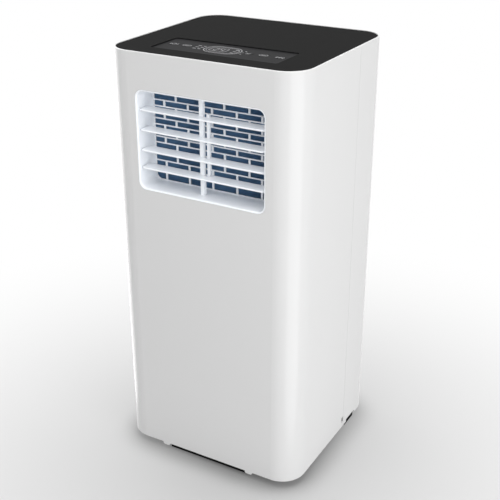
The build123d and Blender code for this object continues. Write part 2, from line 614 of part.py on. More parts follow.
# Casters: a swivel fork, an axle and a wheel each
for place, (x, y) in CASTERS.items():
    axle_y = y - CASTER_TRAIL
    with BuildPart() as caster_fork:
        rod_z(x, y, FORK_PLATE_BOTTOM, FORK_PLATE_TOP, FORK_PLATE_RADIUS)
        rod_z(x, y, FORK_PLATE_TOP, PLATFORM_Z - FIT_GAP, STEM_RADIUS)
        for inner, outer in ((-CHEEK_OUTER_X, -CHEEK_INNER_X), (CHEEK_INNER_X, CHEEK_OUTER_X)):
            with BuildSketch(Plane.YZ.offset(x + inner)) as cheek:
                with Locations((axle_y, WHEEL_RADIUS)):
                    Circle(CHEEK_HALF_LENGTH)
                with Locations((axle_y, FORK_PLATE_BOTTOM), (y, FORK_PLATE_BOTTOM)):
                    Circle(CHEEK_HALF_LENGTH)
                make_hull()
                with Locations((y, FORK_PLATE_TOP + CHEEK_HALF_LENGTH)):
                    Rectangle(4 * FORK_PLATE_RADIUS, 2 * CHEEK_HALF_LENGTH, mode=Mode.SUBTRACT)
            extrude(cheek.sketch, amount=outer - inner)
        rod_x(axle_y, WHEEL_RADIUS, x - CHEEK_OUTER_X, x + CHEEK_OUTER_X, AXLE_RADIUS, Mode.SUBTRACT)
    save(caster_fork, f"caster_fork_{place}")
    with BuildPart() as caster_axle:
        AXLE_END = CHEEK_OUTER_X + AXLE_OVERHANG
        rod_x(axle_y, WHEEL_RADIUS, x - AXLE_END, x + AXLE_END, AXLE_RADIUS)
    save(caster_axle, f"caster_axle_{place}")
    with BuildPart() as caster_wheel:
        rod_x(axle_y, WHEEL_RADIUS, x - WHEEL_WIDTH / 2, x + WHEEL_WIDTH / 2, WHEEL_RADIUS)
        fillet(caster_wheel.edges().filter_by(GeomType.CIRCLE), WHEEL_ROUNDING)
        bore = AXLE_RADIUS + RUNNING_GAP
        rod_x(axle_y, WHEEL_RADIUS, x - WHEEL_WIDTH / 2, x + WHEEL_WIDTH / 2, bore, Mode.SUBTRACT)
    save(caster_wheel, f"caster_wheel_{place}")

# Top cover: lid with a skirt that stands on the shells' ledge, and a shallow pocket for the controls
with BuildPart() as top_cover:
    slab(LID_WIDTH, LID_DEPTH, LID_RADIUS, LID_LEDGE_Z, LID_TOP)
    fillet(top_cover.faces().sort_by(Axis.Z)[-1].edges(), LID_ROUNDING)
    SKIRT_INSET = 2 * LID_SKIRT_WALL
    hollow = (LID_WIDTH - SKIRT_INSET, LID_DEPTH - SKIRT_INSET, LID_RADIUS - LID_SKIRT_WALL)
    slab(*hollow, LID_LEDGE_Z, LID_TOP - LID_THICKNESS, Mode.SUBTRACT)
    POCKET_RIM = 2 * PANEL_RIM
    rim = (PANEL_WIDTH + POCKET_RIM, PANEL_DEPTH + POCKET_RIM, PANEL_RADIUS + PANEL_RIM)
    slab(*rim, PANEL_FLOOR_BOTTOM, LID_TOP - LID_THICKNESS, centre=(0, PANEL_Y))
    POCKET = (PANEL_WIDTH, PANEL_DEPTH, PANEL_RADIUS)
    slab(*POCKET, FASCIA_BOTTOM, LID_TOP, Mode.SUBTRACT, (0, PANEL_Y))
    for x in KEY_POSITIONS.values():
        hole = KEY_STEM_RADIUS + FIT_GAP
        rod_z(x, KEY_Y, PANEL_FLOOR_BOTTOM, FASCIA_BOTTOM, hole, Mode.SUBTRACT)
    VIEW_WIDTH = DISPLAY_WIDTH - 2 * DISPLAY_SHOULDER
    VIEW_DEPTH = DISPLAY_DEPTH - 2 * DISPLAY_SHOULDER
    VIEW_RADIUS = DISPLAY_RADIUS - DISPLAY_SHOULDER
    view = (VIEW_WIDTH, VIEW_DEPTH, VIEW_RADIUS)
    slab(*view, PANEL_FLOOR_BOTTOM, FASCIA_BOTTOM, Mode.SUBTRACT, (DISPLAY_OFFSET, KEY_Y))
    POST_HALF_X = BOARD_WIDTH / 2 - BOARD_POST_INSET
    POST_HALF_Y = BOARD_DEPTH / 2 - BOARD_POST_INSET
    BOARD_POSTS = [(i * POST_HALF_X, PANEL_Y + j * POST_HALF_Y) for i in (-1, 1) for j in (-1, 1)]
    for x, y in BOARD_POSTS:
        rod_z(x, y, BOARD_TOP, PANEL_FLOOR_BOTTOM, BOARD_POST_RADIUS)
        rod_z(x, y, BOARD_TOP - BOARD_THICKNESS - BOARD_PIN_END, BOARD_TOP, BOARD_PIN_RADIUS)
save(top_cover, "top_cover")

# Control fascia: smooth plate in the pocket, hollowed below for the keys' lips
with BuildPart() as control_fascia:
    FASCIA = (PANEL_WIDTH - 2 * FIT_GAP, PANEL_DEPTH - 2 * FIT_GAP, PANEL_RADIUS - FIT_GAP)
    slab(*FASCIA, FASCIA_BOTTOM, FASCIA_TOP, centre=(0, PANEL_Y))
    for x in KEY_POSITIONS.values():
        cap_hole = (KEY_WIDTH + 2 * FIT_GAP, KEY_DEPTH + 2 * FIT_GAP, KEY_RADIUS + FIT_GAP)
        lip_room = KEY_LIP + FIT_GAP
        lip_hole = (KEY_WIDTH + 2 * lip_room, KEY_DEPTH + 2 * lip_room, KEY_RADIUS + lip_room)
        slab(*cap_hole, FASCIA_BOTTOM, FASCIA_TOP, Mode.SUBTRACT, (x, KEY_Y))
        slab(*lip_hole, FASCIA_BOTTOM, KEY_LIP_TOP + KEY_SPARE, Mode.SUBTRACT, (x, KEY_Y))
    window_width = DISPLAY_WIDTH + 2 * DISPLAY_GAP
    window_depth = DISPLAY_DEPTH + 2 * DISPLAY_GAP
    window = (window_width, window_depth, DISPLAY_RADIUS + DISPLAY_GAP)
    slab(*window, FASCIA_BOTTOM, FASCIA_TOP, Mode.SUBTRACT, (DISPLAY_OFFSET, KEY_Y))
save(control_fascia, "control_fascia")

# Display window and the light module behind it
with BuildPart() as display_window:
    lens = (DISPLAY_WIDTH, DISPLAY_DEPTH, DISPLAY_RADIUS)
    slab(*lens, FASCIA_BOTTOM, FASCIA_TOP, centre=(DISPLAY_OFFSET, KEY_Y))
save(display_window, "display_window")

with BuildPart() as display_module:
    module = (VIEW_WIDTH - 2 * FIT_GAP, VIEW_DEPTH - 2 * FIT_GAP, VIEW_RADIUS - FIT_GAP)
    slab(*module, BOARD_TOP, FASCIA_BOTTOM - DISPLAY_GAP, centre=(DISPLAY_OFFSET, KEY_Y))
save(display_module, "display_module")

# Push keys: cap, lip that keeps it under the fascia, and stem
for name, x in KEY_POSITIONS.items():
    with BuildPart() as key:
        cap = (KEY_WIDTH, KEY_DEPTH, KEY_RADIUS)
        slab(*cap, KEY_LIP_BOTTOM, FASCIA_TOP + KEY_PROUD, centre=(x, KEY_Y))
        fillet(key.faces().sort_by(Axis.Z)[-1].edges(), KEY_EDGE)
        lip = (KEY_WIDTH + 2 * KEY_LIP, KEY_DEPTH + 2 * KEY_LIP, KEY_RADIUS + KEY_LIP)
        slab(*lip, KEY_LIP_BOTTOM, KEY_LIP_TOP, centre=(x, KEY_Y))
        rod_z(x, KEY_Y, KEY_STEM_BOTTOM, KEY_LIP_BOTTOM, KEY_STEM_RADIUS)
    save(key, name)

# Control board under the pocket, with a switch under each key
with BuildPart() as control_board:
    with BuildSketch(Plane.XY.offset(BOARD_TOP - BOARD_THICKNESS)) as board_outline:
        with Locations((0, PANEL_Y)):
            Rectangle(BOARD_WIDTH, BOARD_DEPTH)
        with Locations(*BOARD_POSTS):
            Circle(BOARD_PIN_RADIUS + FIT_GAP, mode=Mode.SUBTRACT)
    extrude(board_outline.sketch, amount=BOARD_THICKNESS)
save(control_board, "control_board")

with BuildPart() as key_switches:
    for x in KEY_POSITIONS.values():
        half = SWITCH_SIZE / 2
        body_top = BOARD_TOP + SWITCH_BODY_HEIGHT
        block(x - half, x + half, KEY_Y - half, KEY_Y + half, BOARD_TOP, body_top)
        rod_z(x, KEY_Y, body_top, SWITCH_TOP, SWITCH_PLUNGER_RADIUS)
save(key_switches, "key_switches")

# Outlet frame: duct behind the front face, with a mullion near its middle and holes for the blades' pivots
with BuildPart() as outlet_frame:
    outer = (DUCT_OUTER_WIDTH, DUCT_OUTER_HEIGHT, DUCT_OUTER_RADIUS)
    panel(*outer, LOUVRE_Z, FRONT_Y, DUCT_BACK_Y)
    FLANGE = 2 * DUCT_FLANGE
    flange = (LOUVRE_WIDTH + FLANGE, LOUVRE_HEIGHT + FLANGE, LOUVRE_RADIUS + DUCT_FLANGE)
    panel(*flange, LOUVRE_Z, INNER_FRONT_Y, INNER_FRONT_Y + DUCT_FLANGE_THICKNESS)
    panel(DUCT_WIDTH, DUCT_HEIGHT, DUCT_RADIUS, LOUVRE_Z, FRONT_Y, GUARD_BACK_Y, Mode.SUBTRACT)
    front_face = outlet_frame.faces().sort_by(Axis.Y)[0]
    fillet(front_face.inner_wires()[0].edges(), DUCT_LIP_ROUNDING)
    throat = (DUCT_WIDTH - 2 * GUARD_LEDGE, DUCT_HEIGHT - 2 * GUARD_LEDGE, DUCT_RADIUS - GUARD_LEDGE)
    panel(*throat, LOUVRE_Z, GUARD_BACK_Y, DUCT_BACK_Y, Mode.SUBTRACT)
    MULLION_Y = FRONT_Y + MULLION_FRONT
    MULLION_END = DUCT_HEIGHT / 2 + DUCT_WALL / 2
    MULLION_LEFT = MULLION_X - MULLION_WIDTH / 2
    MULLION_RIGHT = MULLION_X + MULLION_WIDTH / 2
    mullion_z = (LOUVRE_Z - MULLION_END, LOUVRE_Z + MULLION_END)
    block(MULLION_LEFT, MULLION_RIGHT, MULLION_Y, MULLION_Y + MULLION_DEPTH, *mullion_z)
    HALF_DUCT = DUCT_OUTER_WIDTH / 2
    for z in BLADE_HEIGHTS:
        rod_x(PIVOT_Y, z, -HALF_DUCT, HALF_DUCT, PIVOT_RADIUS + RUNNING_GAP, Mode.SUBTRACT)
save(outlet_frame, "outlet_frame")

# Outlet guard: slots in running bond within a rounded border, the lowest row a little taller
with BuildPart() as outlet_guard:
    GUARD_WIDTH = DUCT_WIDTH - 2 * GUARD_FIT
    GUARD_HEIGHT = DUCT_HEIGHT - 2 * GUARD_FIT
    GUARD_RADIUS = DUCT_RADIUS - GUARD_FIT
    SLOT_LIMIT = GUARD_WIDTH / 2 - GUARD_BORDER
    BRICKS = int(GUARD_WIDTH / GUARD_BRICK) + 2
    with BuildSketch(Plane.XZ.offset(-GUARD_FRONT_Y)) as guard_slots:
        for row in range(GUARD_ROWS):
            drop = GUARD_LAST_ROW_DROP if row == GUARD_ROWS - 1 else 0
            row_z = LOUVRE_Z + ((GUARD_ROWS - 1) / 2 - row) * GUARD_ROW_PITCH - drop / 2
            shift = 0.5 * (row % 2)
            for brick in range(-BRICKS, BRICKS):
                start = (brick + shift) * GUARD_BRICK + GUARD_BOND_SHIFT + GUARD_BAR / 2
                left = max(start, -SLOT_LIMIT)
                right = min(start + GUARD_BRICK - GUARD_BAR, SLOT_LIMIT)
                if right - left > GUARD_SHORTEST_SLOT:
                    with Locations(((left + right) / 2, row_z)):
                        Rectangle(right - left, GUARD_ROW_PITCH - GUARD_RIB + drop)
        with Locations((0, LOUVRE_Z)):
            field = (2 * SLOT_LIMIT, GUARD_HEIGHT - 2 * GUARD_BORDER, GUARD_RADIUS - GUARD_BORDER)
            RectangleRounded(*field, mode=Mode.INTERSECT)
    with BuildSketch(Plane.XZ.offset(-GUARD_FRONT_Y)) as guard_face:
        with Locations((0, LOUVRE_Z)):
            RectangleRounded(GUARD_WIDTH, GUARD_HEIGHT, GUARD_RADIUS)
        add(guard_slots.sketch_local, mode=Mode.SUBTRACT)
    extrude(guard_face.sketch, amount=-GUARD_THICKNESS)
save(outlet_guard, "outlet_guard")

# Louvre blades, each with end pivots, a notch round mullion and tie bar, and a crank pin in that notch
BAR_LEFT = TIE_BAR_X - TIE_BAR_WIDTH / 2
BAR_RIGHT = TIE_BAR_X + TIE_BAR_WIDTH / 2
BLADE_NOTCH_LEFT = MULLION_LEFT - CRANK_NOTCH_SIDE
BLADE_NOTCH_RIGHT = BAR_RIGHT + CRANK_NOTCH_SIDE
BLADE_NOTCH_Y = CRANK_Y - CRANK_NOTCH_FRONT
for number, z in enumerate(BLADE_HEIGHTS, start=1):
    with BuildPart() as louvre_blade:
        bottom = z - BLADE_THICKNESS / 2
        middle = (0, (BLADE_FRONT_Y + BLADE_BACK_Y) / 2)
        slab(BLADE_LENGTH, BLADE_CHORD, BLADE_CORNER, bottom, bottom + BLADE_THICKNESS, centre=middle)
        faces = louvre_blade.faces().sort_by(Axis.Z)
        fillet(faces[0].edges() + faces[-1].edges(), BLADE_EDGE)
        notch_x = (BLADE_NOTCH_LEFT, BLADE_NOTCH_RIGHT)
        block(*notch_x, BLADE_NOTCH_Y, BLADE_BACK_Y, bottom, bottom + BLADE_THICKNESS, Mode.SUBTRACT)
        rod_x(CRANK_Y, z, BAR_LEFT - CRANK_PIN_OVERHANG, BLADE_NOTCH_RIGHT + CUT, CRANK_PIN_RADIUS)
        PIVOT_END = DUCT_WIDTH / 2 + PIVOT_LENGTH
        for side in (-1, 1):
            ends = sorted((side * (BLADE_LENGTH / 2 - CUT), side * PIVOT_END))
            rod_x(PIVOT_Y, z, *ends, PIVOT_RADIUS)
    save(louvre_blade, f"louvre_blade_{number}")

# Tie bar that holds the four crank pins
with BuildPart() as louvre_tie_bar:
    BAR_BOTTOM = BLADE_HEIGHTS[-1] - TIE_BAR_END
    BAR_TOP = BLADE_HEIGHTS[0] + TIE_BAR_END
    BAR_FRONT_Y = CRANK_Y - TIE_BAR_DEPTH / 2
    block(BAR_LEFT, BAR_RIGHT, BAR_FRONT_Y, BAR_FRONT_Y + TIE_BAR_DEPTH, BAR_BOTTOM, BAR_TOP)
    for z in BLADE_HEIGHTS:
        rod_x(CRANK_Y, z, BAR_LEFT, BAR_RIGHT, CRANK_PIN_RADIUS + CRANK_GAP, Mode.SUBTRACT)
save(louvre_tie_bar, "louvre_tie_bar")


def coil_rows(bottom, top, count):
    """Return the heights of a coil's tube rows, evenly about its middle."""
    middle = (bottom + top) / 2
    return [middle + (row - (count - 1) / 2) * TUBE_ROW_PITCH for row in range(count)]


def fin_pack(width, front, back, bottom, top, rows):
    """Add a block of fins, slotted front and back, with holes for its tubes."""
    with BuildSketch(Plane.XY.offset(bottom)) as comb:
        with Locations((0, (front + back) / 2)):
            Rectangle(width, back - front)
        slots = int((width - FIN_GAP) / FIN_PITCH)
        for edge in (front, back):
            with Locations((0, edge)):
                with GridLocations(FIN_PITCH, 1, slots, 1):
                    Rectangle(FIN_GAP, 2 * FIN_GAP_DEPTH, mode=Mode.SUBTRACT)
    extrude(comb.sketch, amount=top - bottom)
    for z in rows:
        rod_x((front + back) / 2, z, -width / 2, width / 2, TUBE_RADIUS + TUBE_GAP, Mode.SUBTRACT)


def tube_run(width, y, rows):
    """Add a coil's tube: straight runs joined at their ends by return bends."""
    end = width / 2 + TUBE_STUB
    for z in rows:
        rod_x(y, z, -end, end, TUBE_RADIUS)
    for row in range(len(rows) - 1):
        side = 1 if row % 2 else -1
        middle = (rows[row] + rows[row + 1]) / 2
        with BuildSketch(Plane.YZ.offset(side * end)) as section:
            with Locations((y, rows[row + 1])):
                Circle(TUBE_RADIUS)
        turn = Axis((side * end, y, middle), (0, side, 0))
        revolve(section.sketch, axis=turn, revolution_arc=180)


# Evaporator: blue fin pack on the divider deck, right behind the guard
EVAPORATOR_Y = (EVAPORATOR_FRONT_Y + EVAPORATOR_BACK_Y) / 2
EVAPORATOR_TUBE_ROWS = coil_rows(DECK_TOP, EVAPORATOR_TOP, EVAPORATOR_ROWS)
with BuildPart() as evaporator_fins:
    face = (EVAPORATOR_FRONT_Y, EVAPORATOR_BACK_Y, DECK_TOP, EVAPORATOR_TOP)
    fin_pack(EVAPORATOR_WIDTH, *face, EVAPORATOR_TUBE_ROWS)
save(evaporator_fins, "evaporator_fins")

with BuildPart() as evaporator_tubes:
    tube_run(EVAPORATOR_WIDTH, EVAPORATOR_Y, EVAPORATOR_TUBE_ROWS)
save(evaporator_tubes, "evaporator_tubes")

# Condenser, between its fan and the lower intake
CONDENSER_BACK_Y = CONDENSER_FRONT_Y + CONDENSER_DEPTH
CONDENSER_Y = (CONDENSER_FRONT_Y + CONDENSER_BACK_Y) / 2
CONDENSER_TOP = PLATFORM_Z + CONDENSER_HEIGHT
CONDENSER_TUBE_ROWS = coil_rows(PLATFORM_Z, CONDENSER_TOP, CONDENSER_ROWS)
with BuildPart() as condenser_fins:
    face = (CONDENSER_FRONT_Y, CONDENSER_BACK_Y, PLATFORM_Z, CONDENSER_TOP)
    fin_pack(CONDENSER_WIDTH, *face, CONDENSER_TUBE_ROWS)
save(condenser_fins, "condenser_fins")

with BuildPart() as condenser_tubes:
    tube_run(CONDENSER_WIDTH, CONDENSER_Y, CONDENSER_TUBE_ROWS)
save(condenser_tubes, "condenser_tubes")


def fan_wheel(centre_z, plate_y, ring_y, radius, shaft_y):
    """Add a drum fan wheel on its shaft, which points to the front."""
    rod_y(0, centre_z, plate_y, plate_y + WHEEL_PLATE, radius)
    rod_y(0, centre_z, ring_y - WHEEL_PLATE, ring_y, radius)
    rod_y(0, centre_z, ring_y - WHEEL_PLATE, ring_y, radius - WHEEL_RING_WIDTH, Mode.SUBTRACT)
    with BuildSketch(Plane.XZ.offset(-plate_y)) as vanes:
        with Locations((0, centre_z)):
            with PolarLocations(radius - VANE_INSET, VANE_COUNT):
                Rectangle(VANE_LENGTH, VANE_THICKNESS, rotation=VANE_LEAN)
    extrude(vanes.sketch, amount=plate_y - ring_y)
    rod_y(0, centre_z, plate_y, plate_y + WHEEL_HUB_LENGTH, WHEEL_HUB_RADIUS)
    rod_y(0, centre_z, shaft_y, plate_y + WHEEL_HUB_LENGTH, SHAFT_RADIUS)


def fan_motor(builder, centre_z, front, back, radius):
    """Add a motor body with the bore that its shaft turns in."""
    rod_y(0, centre_z, front, back, radius)
    fillet(builder.edges().filter_by(GeomType.CIRCLE), MOTOR_ROUNDING)
    rod_y(0, centre_z, back - SHAFT_IN_MOTOR - CUT, back, SHAFT_RADIUS + RUNNING_GAP, Mode.SUBTRACT)


# Blower: box behind the evaporator, drum wheel, motor and the strap that carries it
HALF_BLOWER = BLOWER_WIDTH / 2
with BuildPart() as blower_housing:
    block(-HALF_BLOWER, HALF_BLOWER, BLOWER_FRONT_Y, BLOWER_BACK_Y, DECK_TOP, BLOWER_TOP)
    INNER_BLOWER = HALF_BLOWER - BLOWER_WALL
    inner_z = (DECK_TOP + BLOWER_WALL, BLOWER_TOP - BLOWER_WALL)
    inner_y = (BLOWER_FRONT_Y, BLOWER_BACK_Y - BLOWER_WALL)
    block(-INNER_BLOWER, INNER_BLOWER, *inner_y, *inner_z, Mode.SUBTRACT)
    rod_y(0, BLOWER_Z, BLOWER_BACK_Y - BLOWER_WALL, BLOWER_BACK_Y, BLOWER_INLET_RADIUS, Mode.SUBTRACT)
save(blower_housing, "blower_housing")

with BuildPart() as blower_wheel:
    fan_wheel(BLOWER_Z, BLOWER_PLATE_Y, BLOWER_RING_Y, BLOWER_RADIUS, BLOWER_MOTOR_Y - SHAFT_IN_MOTOR)
save(blower_wheel, "blower_wheel")

with BuildPart() as blower_motor:
    fan_motor(blower_motor, BLOWER_Z, BRACKET_Y, BLOWER_MOTOR_Y, BLOWER_MOTOR_RADIUS)
save(blower_motor, "blower_motor")

with BuildPart() as blower_motor_bracket:
    HALF_BRACKET = BRACKET_WIDTH / 2
    block(-HALF_BRACKET, HALF_BRACKET, BRACKET_Y - BRACKET_THICKNESS, BRACKET_Y, *inner_z)
save(blower_motor_bracket, "blower_motor_bracket")

# Condenser fan: deep box, its cover with the inlet and the outlet, wheel and motor
HALF_FAN_BOX = FAN_BOX_WIDTH / 2
with BuildPart() as condenser_fan_housing:
    block(-HALF_FAN_BOX, HALF_FAN_BOX, FAN_BOX_FRONT_Y, FAN_COVER_Y, PLATFORM_Z, DECK_BOTTOM)
    INNER_FAN_BOX = HALF_FAN_BOX - FAN_BOX_WALL
    fan_inner_z = (PLATFORM_Z + FAN_BOX_WALL, DECK_BOTTOM - FAN_BOX_WALL)
    fan_inner_y = (FAN_BOX_FRONT_Y + FAN_BOX_WALL, FAN_COVER_Y)
    block(-INNER_FAN_BOX, INNER_FAN_BOX, *fan_inner_y, *fan_inner_z, Mode.SUBTRACT)
    shaft_hole = (FAN_BOX_FRONT_Y, FAN_BOX_FRONT_Y + FAN_BOX_WALL, 2 * SHAFT_RADIUS)
    rod_y(0, FAN_Z, *shaft_hole, Mode.SUBTRACT)
save(condenser_fan_housing, "condenser_fan_housing")

FAN_COVER_BACK_Y = FAN_COVER_Y + FAN_BOX_WALL
with BuildPart() as condenser_fan_cover:
    block(-HALF_FAN_BOX, HALF_FAN_BOX, FAN_COVER_Y, FAN_COVER_BACK_Y, PLATFORM_Z, DECK_BOTTOM)
    rod_y(0, FAN_Z, FAN_COVER_Y, FAN_COVER_BACK_Y, FAN_INLET_RADIUS, Mode.SUBTRACT)
    rod_y(0, EXHAUST_Z, FAN_COVER_Y, FAN_COVER_BACK_Y, EXHAUST_RADIUS, Mode.SUBTRACT)
save(condenser_fan_cover, "condenser_fan_cover")

with BuildPart() as condenser_fan_wheel:
    fan_wheel(FAN_Z, FAN_PLATE_Y, FAN_RING_Y, FAN_RADIUS, FAN_BOX_FRONT_Y - SHAFT_IN_MOTOR)
save(condenser_fan_wheel, "condenser_fan_wheel")

with BuildPart() as condenser_fan_motor:
    FAN_MOTOR_FRONT_Y = FAN_BOX_FRONT_Y - FAN_MOTOR_LENGTH
    fan_motor(condenser_fan_motor, FAN_Z, FAN_MOTOR_FRONT_Y, FAN_BOX_FRONT_Y, FAN_MOTOR_RADIUS)
save(condenser_fan_motor, "condenser_fan_motor")

# Exhaust collar: round way out for the hose, with a guard at its inner end
with BuildPart() as exhaust_collar:
    COLLAR_MOUTH_Y = BACK_Y - COLLAR_RECESS
    COLLAR_RADIUS = EXHAUST_RADIUS + COLLAR_WALL
    FLANGE_FRONT_Y = INNER_BACK_Y - COLLAR_FLANGE_THICKNESS
    rod_y(0, EXHAUST_Z, FAN_COVER_BACK_Y, COLLAR_MOUTH_Y, COLLAR_RADIUS)
    rod_y(0, EXHAUST_Z, FLANGE_FRONT_Y, INNER_BACK_Y, COLLAR_RADIUS + COLLAR_FLANGE)
    LIP_BACK_END_Y = FAN_COVER_BACK_Y + COLLAR_GUARD_DEPTH
    rod_y(0, EXHAUST_Z, LIP_BACK_END_Y, COLLAR_MOUTH_Y, EXHAUST_RADIUS, Mode.SUBTRACT)
    rod_y(0, EXHAUST_Z, FAN_COVER_BACK_Y, LIP_BACK_END_Y, EXHAUST_RADIUS - COLLAR_LIP, Mode.SUBTRACT)
    with BuildSketch(Plane.XZ.offset(-FAN_COVER_BACK_Y)) as collar_guard:
        with Locations((0, EXHAUST_Z)):
            Circle(COLLAR_GUARD_RING)
            Circle(COLLAR_GUARD_RING - COLLAR_GUARD_BAR, mode=Mode.SUBTRACT)
            Rectangle(2 * EXHAUST_RADIUS - COLLAR_LIP, COLLAR_GUARD_BAR)
            Rectangle(COLLAR_GUARD_BAR, 2 * EXHAUST_RADIUS - COLLAR_LIP)
    extrude(collar_guard.sketch, amount=-COLLAR_GUARD_DEPTH)
save(exhaust_collar, "exhaust_collar")

# Divider deck: condensate tray between the cold and the hot side, on the posts and the fan box
DISCHARGE_X = -SIDE_X + DISCHARGE_FROM_SIDE
SUCTION_X = SIDE_X - SUCTION_FROM_SIDE
SUCTION_Z = DECK_BOTTOM - SUCTION_BELOW_DECK
LIQUID_X = SIDE_X - PIPE_SIDE_CLEAR
with BuildPart() as divider_deck:
    DECK_WIDTH = INNER_WIDTH - 2 * DECK_INSET
    DECK_DEPTH = INNER_DEPTH - 2 * DECK_INSET
    DECK_RADIUS = INNER_RADIUS - DECK_INSET
    slab(DECK_WIDTH, DECK_DEPTH, DECK_RADIUS, DECK_BOTTOM, DECK_TOP + DECK_RIM)
    RIM = 2 * DECK_RIM_WALL
    tray = (DECK_WIDTH - RIM, DECK_DEPTH - RIM, DECK_RADIUS - DECK_RIM_WALL)
    slab(*tray, DECK_TOP, DECK_TOP + DECK_RIM, Mode.SUBTRACT)
    POST_ROOM = POST_SIZE / 2 + DECK_GAP
    for side in (-1, 1):
        notch_x = (side * REAR_POST_X - POST_ROOM, side * REAR_POST_X + POST_ROOM)
        block(*notch_x, REAR_POST_Y - POST_ROOM, BACK_Y, DECK_BOTTOM, DECK_TOP + DECK_RIM, Mode.SUBTRACT)
    pipe_hole = PIPE_RADIUS + PIPE_HOLE_GAP
    rod_z(SUCTION_X, EVAPORATOR_Y, DECK_BOTTOM, DECK_TOP, pipe_hole, Mode.SUBTRACT)
    rod_z(LIQUID_X, CONDENSER_Y, DECK_BOTTOM, DECK_TOP, pipe_hole, Mode.SUBTRACT)
    spout = DRAIN_BORE + DRAIN_SPOUT_WALL
    rod_y(UPPER_DRAIN_X, UPPER_DRAIN_Z, SPOUT_START_Y, DRAIN_SEAT_Y, spout)
    rod_y(UPPER_DRAIN_X, UPPER_DRAIN_Z, SPOUT_START_Y, DRAIN_SEAT_Y, DRAIN_BORE, Mode.SUBTRACT)
save(divider_deck, "divider_deck")

# Drain plugs: rubber stem in the spout, slotted head flush with the back
for name, (x, z) in DRAIN_PLACES.items():
    with BuildPart() as drain_plug:
        PLUG_BACK_Y = DRAIN_SEAT_Y + PLUG_HEAD_HEIGHT
        rod_y(x, z, DRAIN_SEAT_Y, PLUG_BACK_Y, PLUG_HEAD_RADIUS)
        fillet(drain_plug.faces().sort_by(Axis.Y)[-1].edges(), PLUG_HEAD_ROUNDING)
        slot_x = (x - PLUG_HEAD_RADIUS, x + PLUG_HEAD_RADIUS)
        slot_z = (z - PLUG_SLOT_WIDTH / 2, z + PLUG_SLOT_WIDTH / 2)
        block(*slot_x, PLUG_BACK_Y - PLUG_SLOT_DEPTH, PLUG_BACK_Y, *slot_z, Mode.SUBTRACT)
        rod_y(x, z, DRAIN_SEAT_Y - PLUG_STEM_LENGTH, DRAIN_SEAT_Y, DRAIN_BORE - PLUG_FIT)
    save(drain_plug, name)

# Chassis posts: square tubes, the front pair under the deck and the rear pair up to the top
FRONT_POST_X = SIDE_X - FRONT_POST_FROM_SIDE
FRONT_POST_Y = FRONT_Y + FRONT_POST_FROM_FRONT
POSTS = [(FRONT_POST_X, FRONT_POST_Y, DECK_BOTTOM), (REAR_POST_X, REAR_POST_Y, REAR_POST_TOP)]
with BuildPart() as chassis_posts:
    for post_x, post_y, post_top in POSTS:
        for side in (-1, 1):
            with BuildSketch(Plane.XY.offset(PAN_FLOOR_Z)) as tube:
                with Locations((side * post_x, post_y)):
                    Rectangle(POST_SIZE, POST_SIZE)
                    inside = POST_SIZE - 2 * POST_WALL
                    Rectangle(inside, inside, mode=Mode.SUBTRACT)
            extrude(tube.sketch, amount=post_top - PAN_FLOOR_Z)
    for x, z in SCREW_PLACES:
        rod_y(x, z, REAR_POST_Y, REAR_POST_FACE_Y, SCREW_RADIUS + SCREW_HOLE_GAP, Mode.SUBTRACT)
save(chassis_posts, "chassis_posts")

# Screws through the back into the rear posts
with BuildPart() as rear_screws:
    for x, z in SCREW_PLACES:
        head_back = SCREW_SEAT_Y + SCREW_HEAD_HEIGHT
        rod_y(x, z, SCREW_SEAT_Y, head_back, SCREW_HEAD_RADIUS)
        rod_y(x, z, SCREW_SEAT_Y - SCREW_LENGTH, SCREW_SEAT_Y, SCREW_RADIUS)
        reach = SCREW_DRIVE_LENGTH / 2
        half = SCREW_DRIVE_WIDTH / 2
        drive_y = (head_back - SCREW_DRIVE_DEPTH, head_back)
        block(x - reach, x + reach, *drive_y, z - half, z + half, Mode.SUBTRACT)
        block(x - half, x + half, *drive_y, z - reach, z + reach, Mode.SUBTRACT)
save(rear_screws, "rear_screws")

# Compressor: can on a three-legged plate, with the accumulator strapped beside it
with BuildPart() as compressor:
    with BuildSketch(Plane.XY.offset(COMPRESSOR_BASE)) as foot_plate:
        with Locations(*FOOT_PLACES):
            Circle(FOOT_PAD_RADIUS)
        make_hull()
        with Locations(*FOOT_PLACES):
            Circle(GROMMET_BORE, mode=Mode.SUBTRACT)
    extrude(foot_plate.sketch, amount=FOOT_PLATE)
    strap_z = (ACCUMULATOR_BASE + STRAP_HEIGHT, ACCUMULATOR_BASE + 2 * STRAP_HEIGHT)
    strap_y = (COMPRESSOR_Y - STRAP_WIDTH / 2, COMPRESSOR_Y + STRAP_WIDTH / 2)
    block(COMPRESSOR_X, ACCUMULATOR_X, *strap_y, *strap_z)
with BuildPart() as compressor_can:
    rod_z(COMPRESSOR_X, COMPRESSOR_Y, COMPRESSOR_BASE + FOOT_PLATE, COMPRESSOR_TOP, COMPRESSOR_RADIUS)
    fillet(compressor_can.edges().filter_by(GeomType.CIRCLE), COMPRESSOR_ROUNDING)
with BuildPart() as accumulator:
    rod_z(ACCUMULATOR_X, COMPRESSOR_Y, ACCUMULATOR_BASE, ACCUMULATOR_TOP, ACCUMULATOR_RADIUS)
    fillet(accumulator.edges().filter_by(GeomType.CIRCLE), ACCUMULATOR_ROUNDING)
with compressor:
    add(compressor_can.part)
    add(accumulator.part)
save(compressor, "compressor")

with BuildPart() as compressor_grommets:
    for x, y in FOOT_PLACES:
        rod_z(x, y, FOOT_BOSS_TOP, COMPRESSOR_BASE, GROMMET_RADIUS)
        rod_z(x, y, FOOT_BOSS_TOP, COMPRESSOR_BASE, GROMMET_BORE, Mode.SUBTRACT)
save(compressor_grommets, "compressor_grommets")


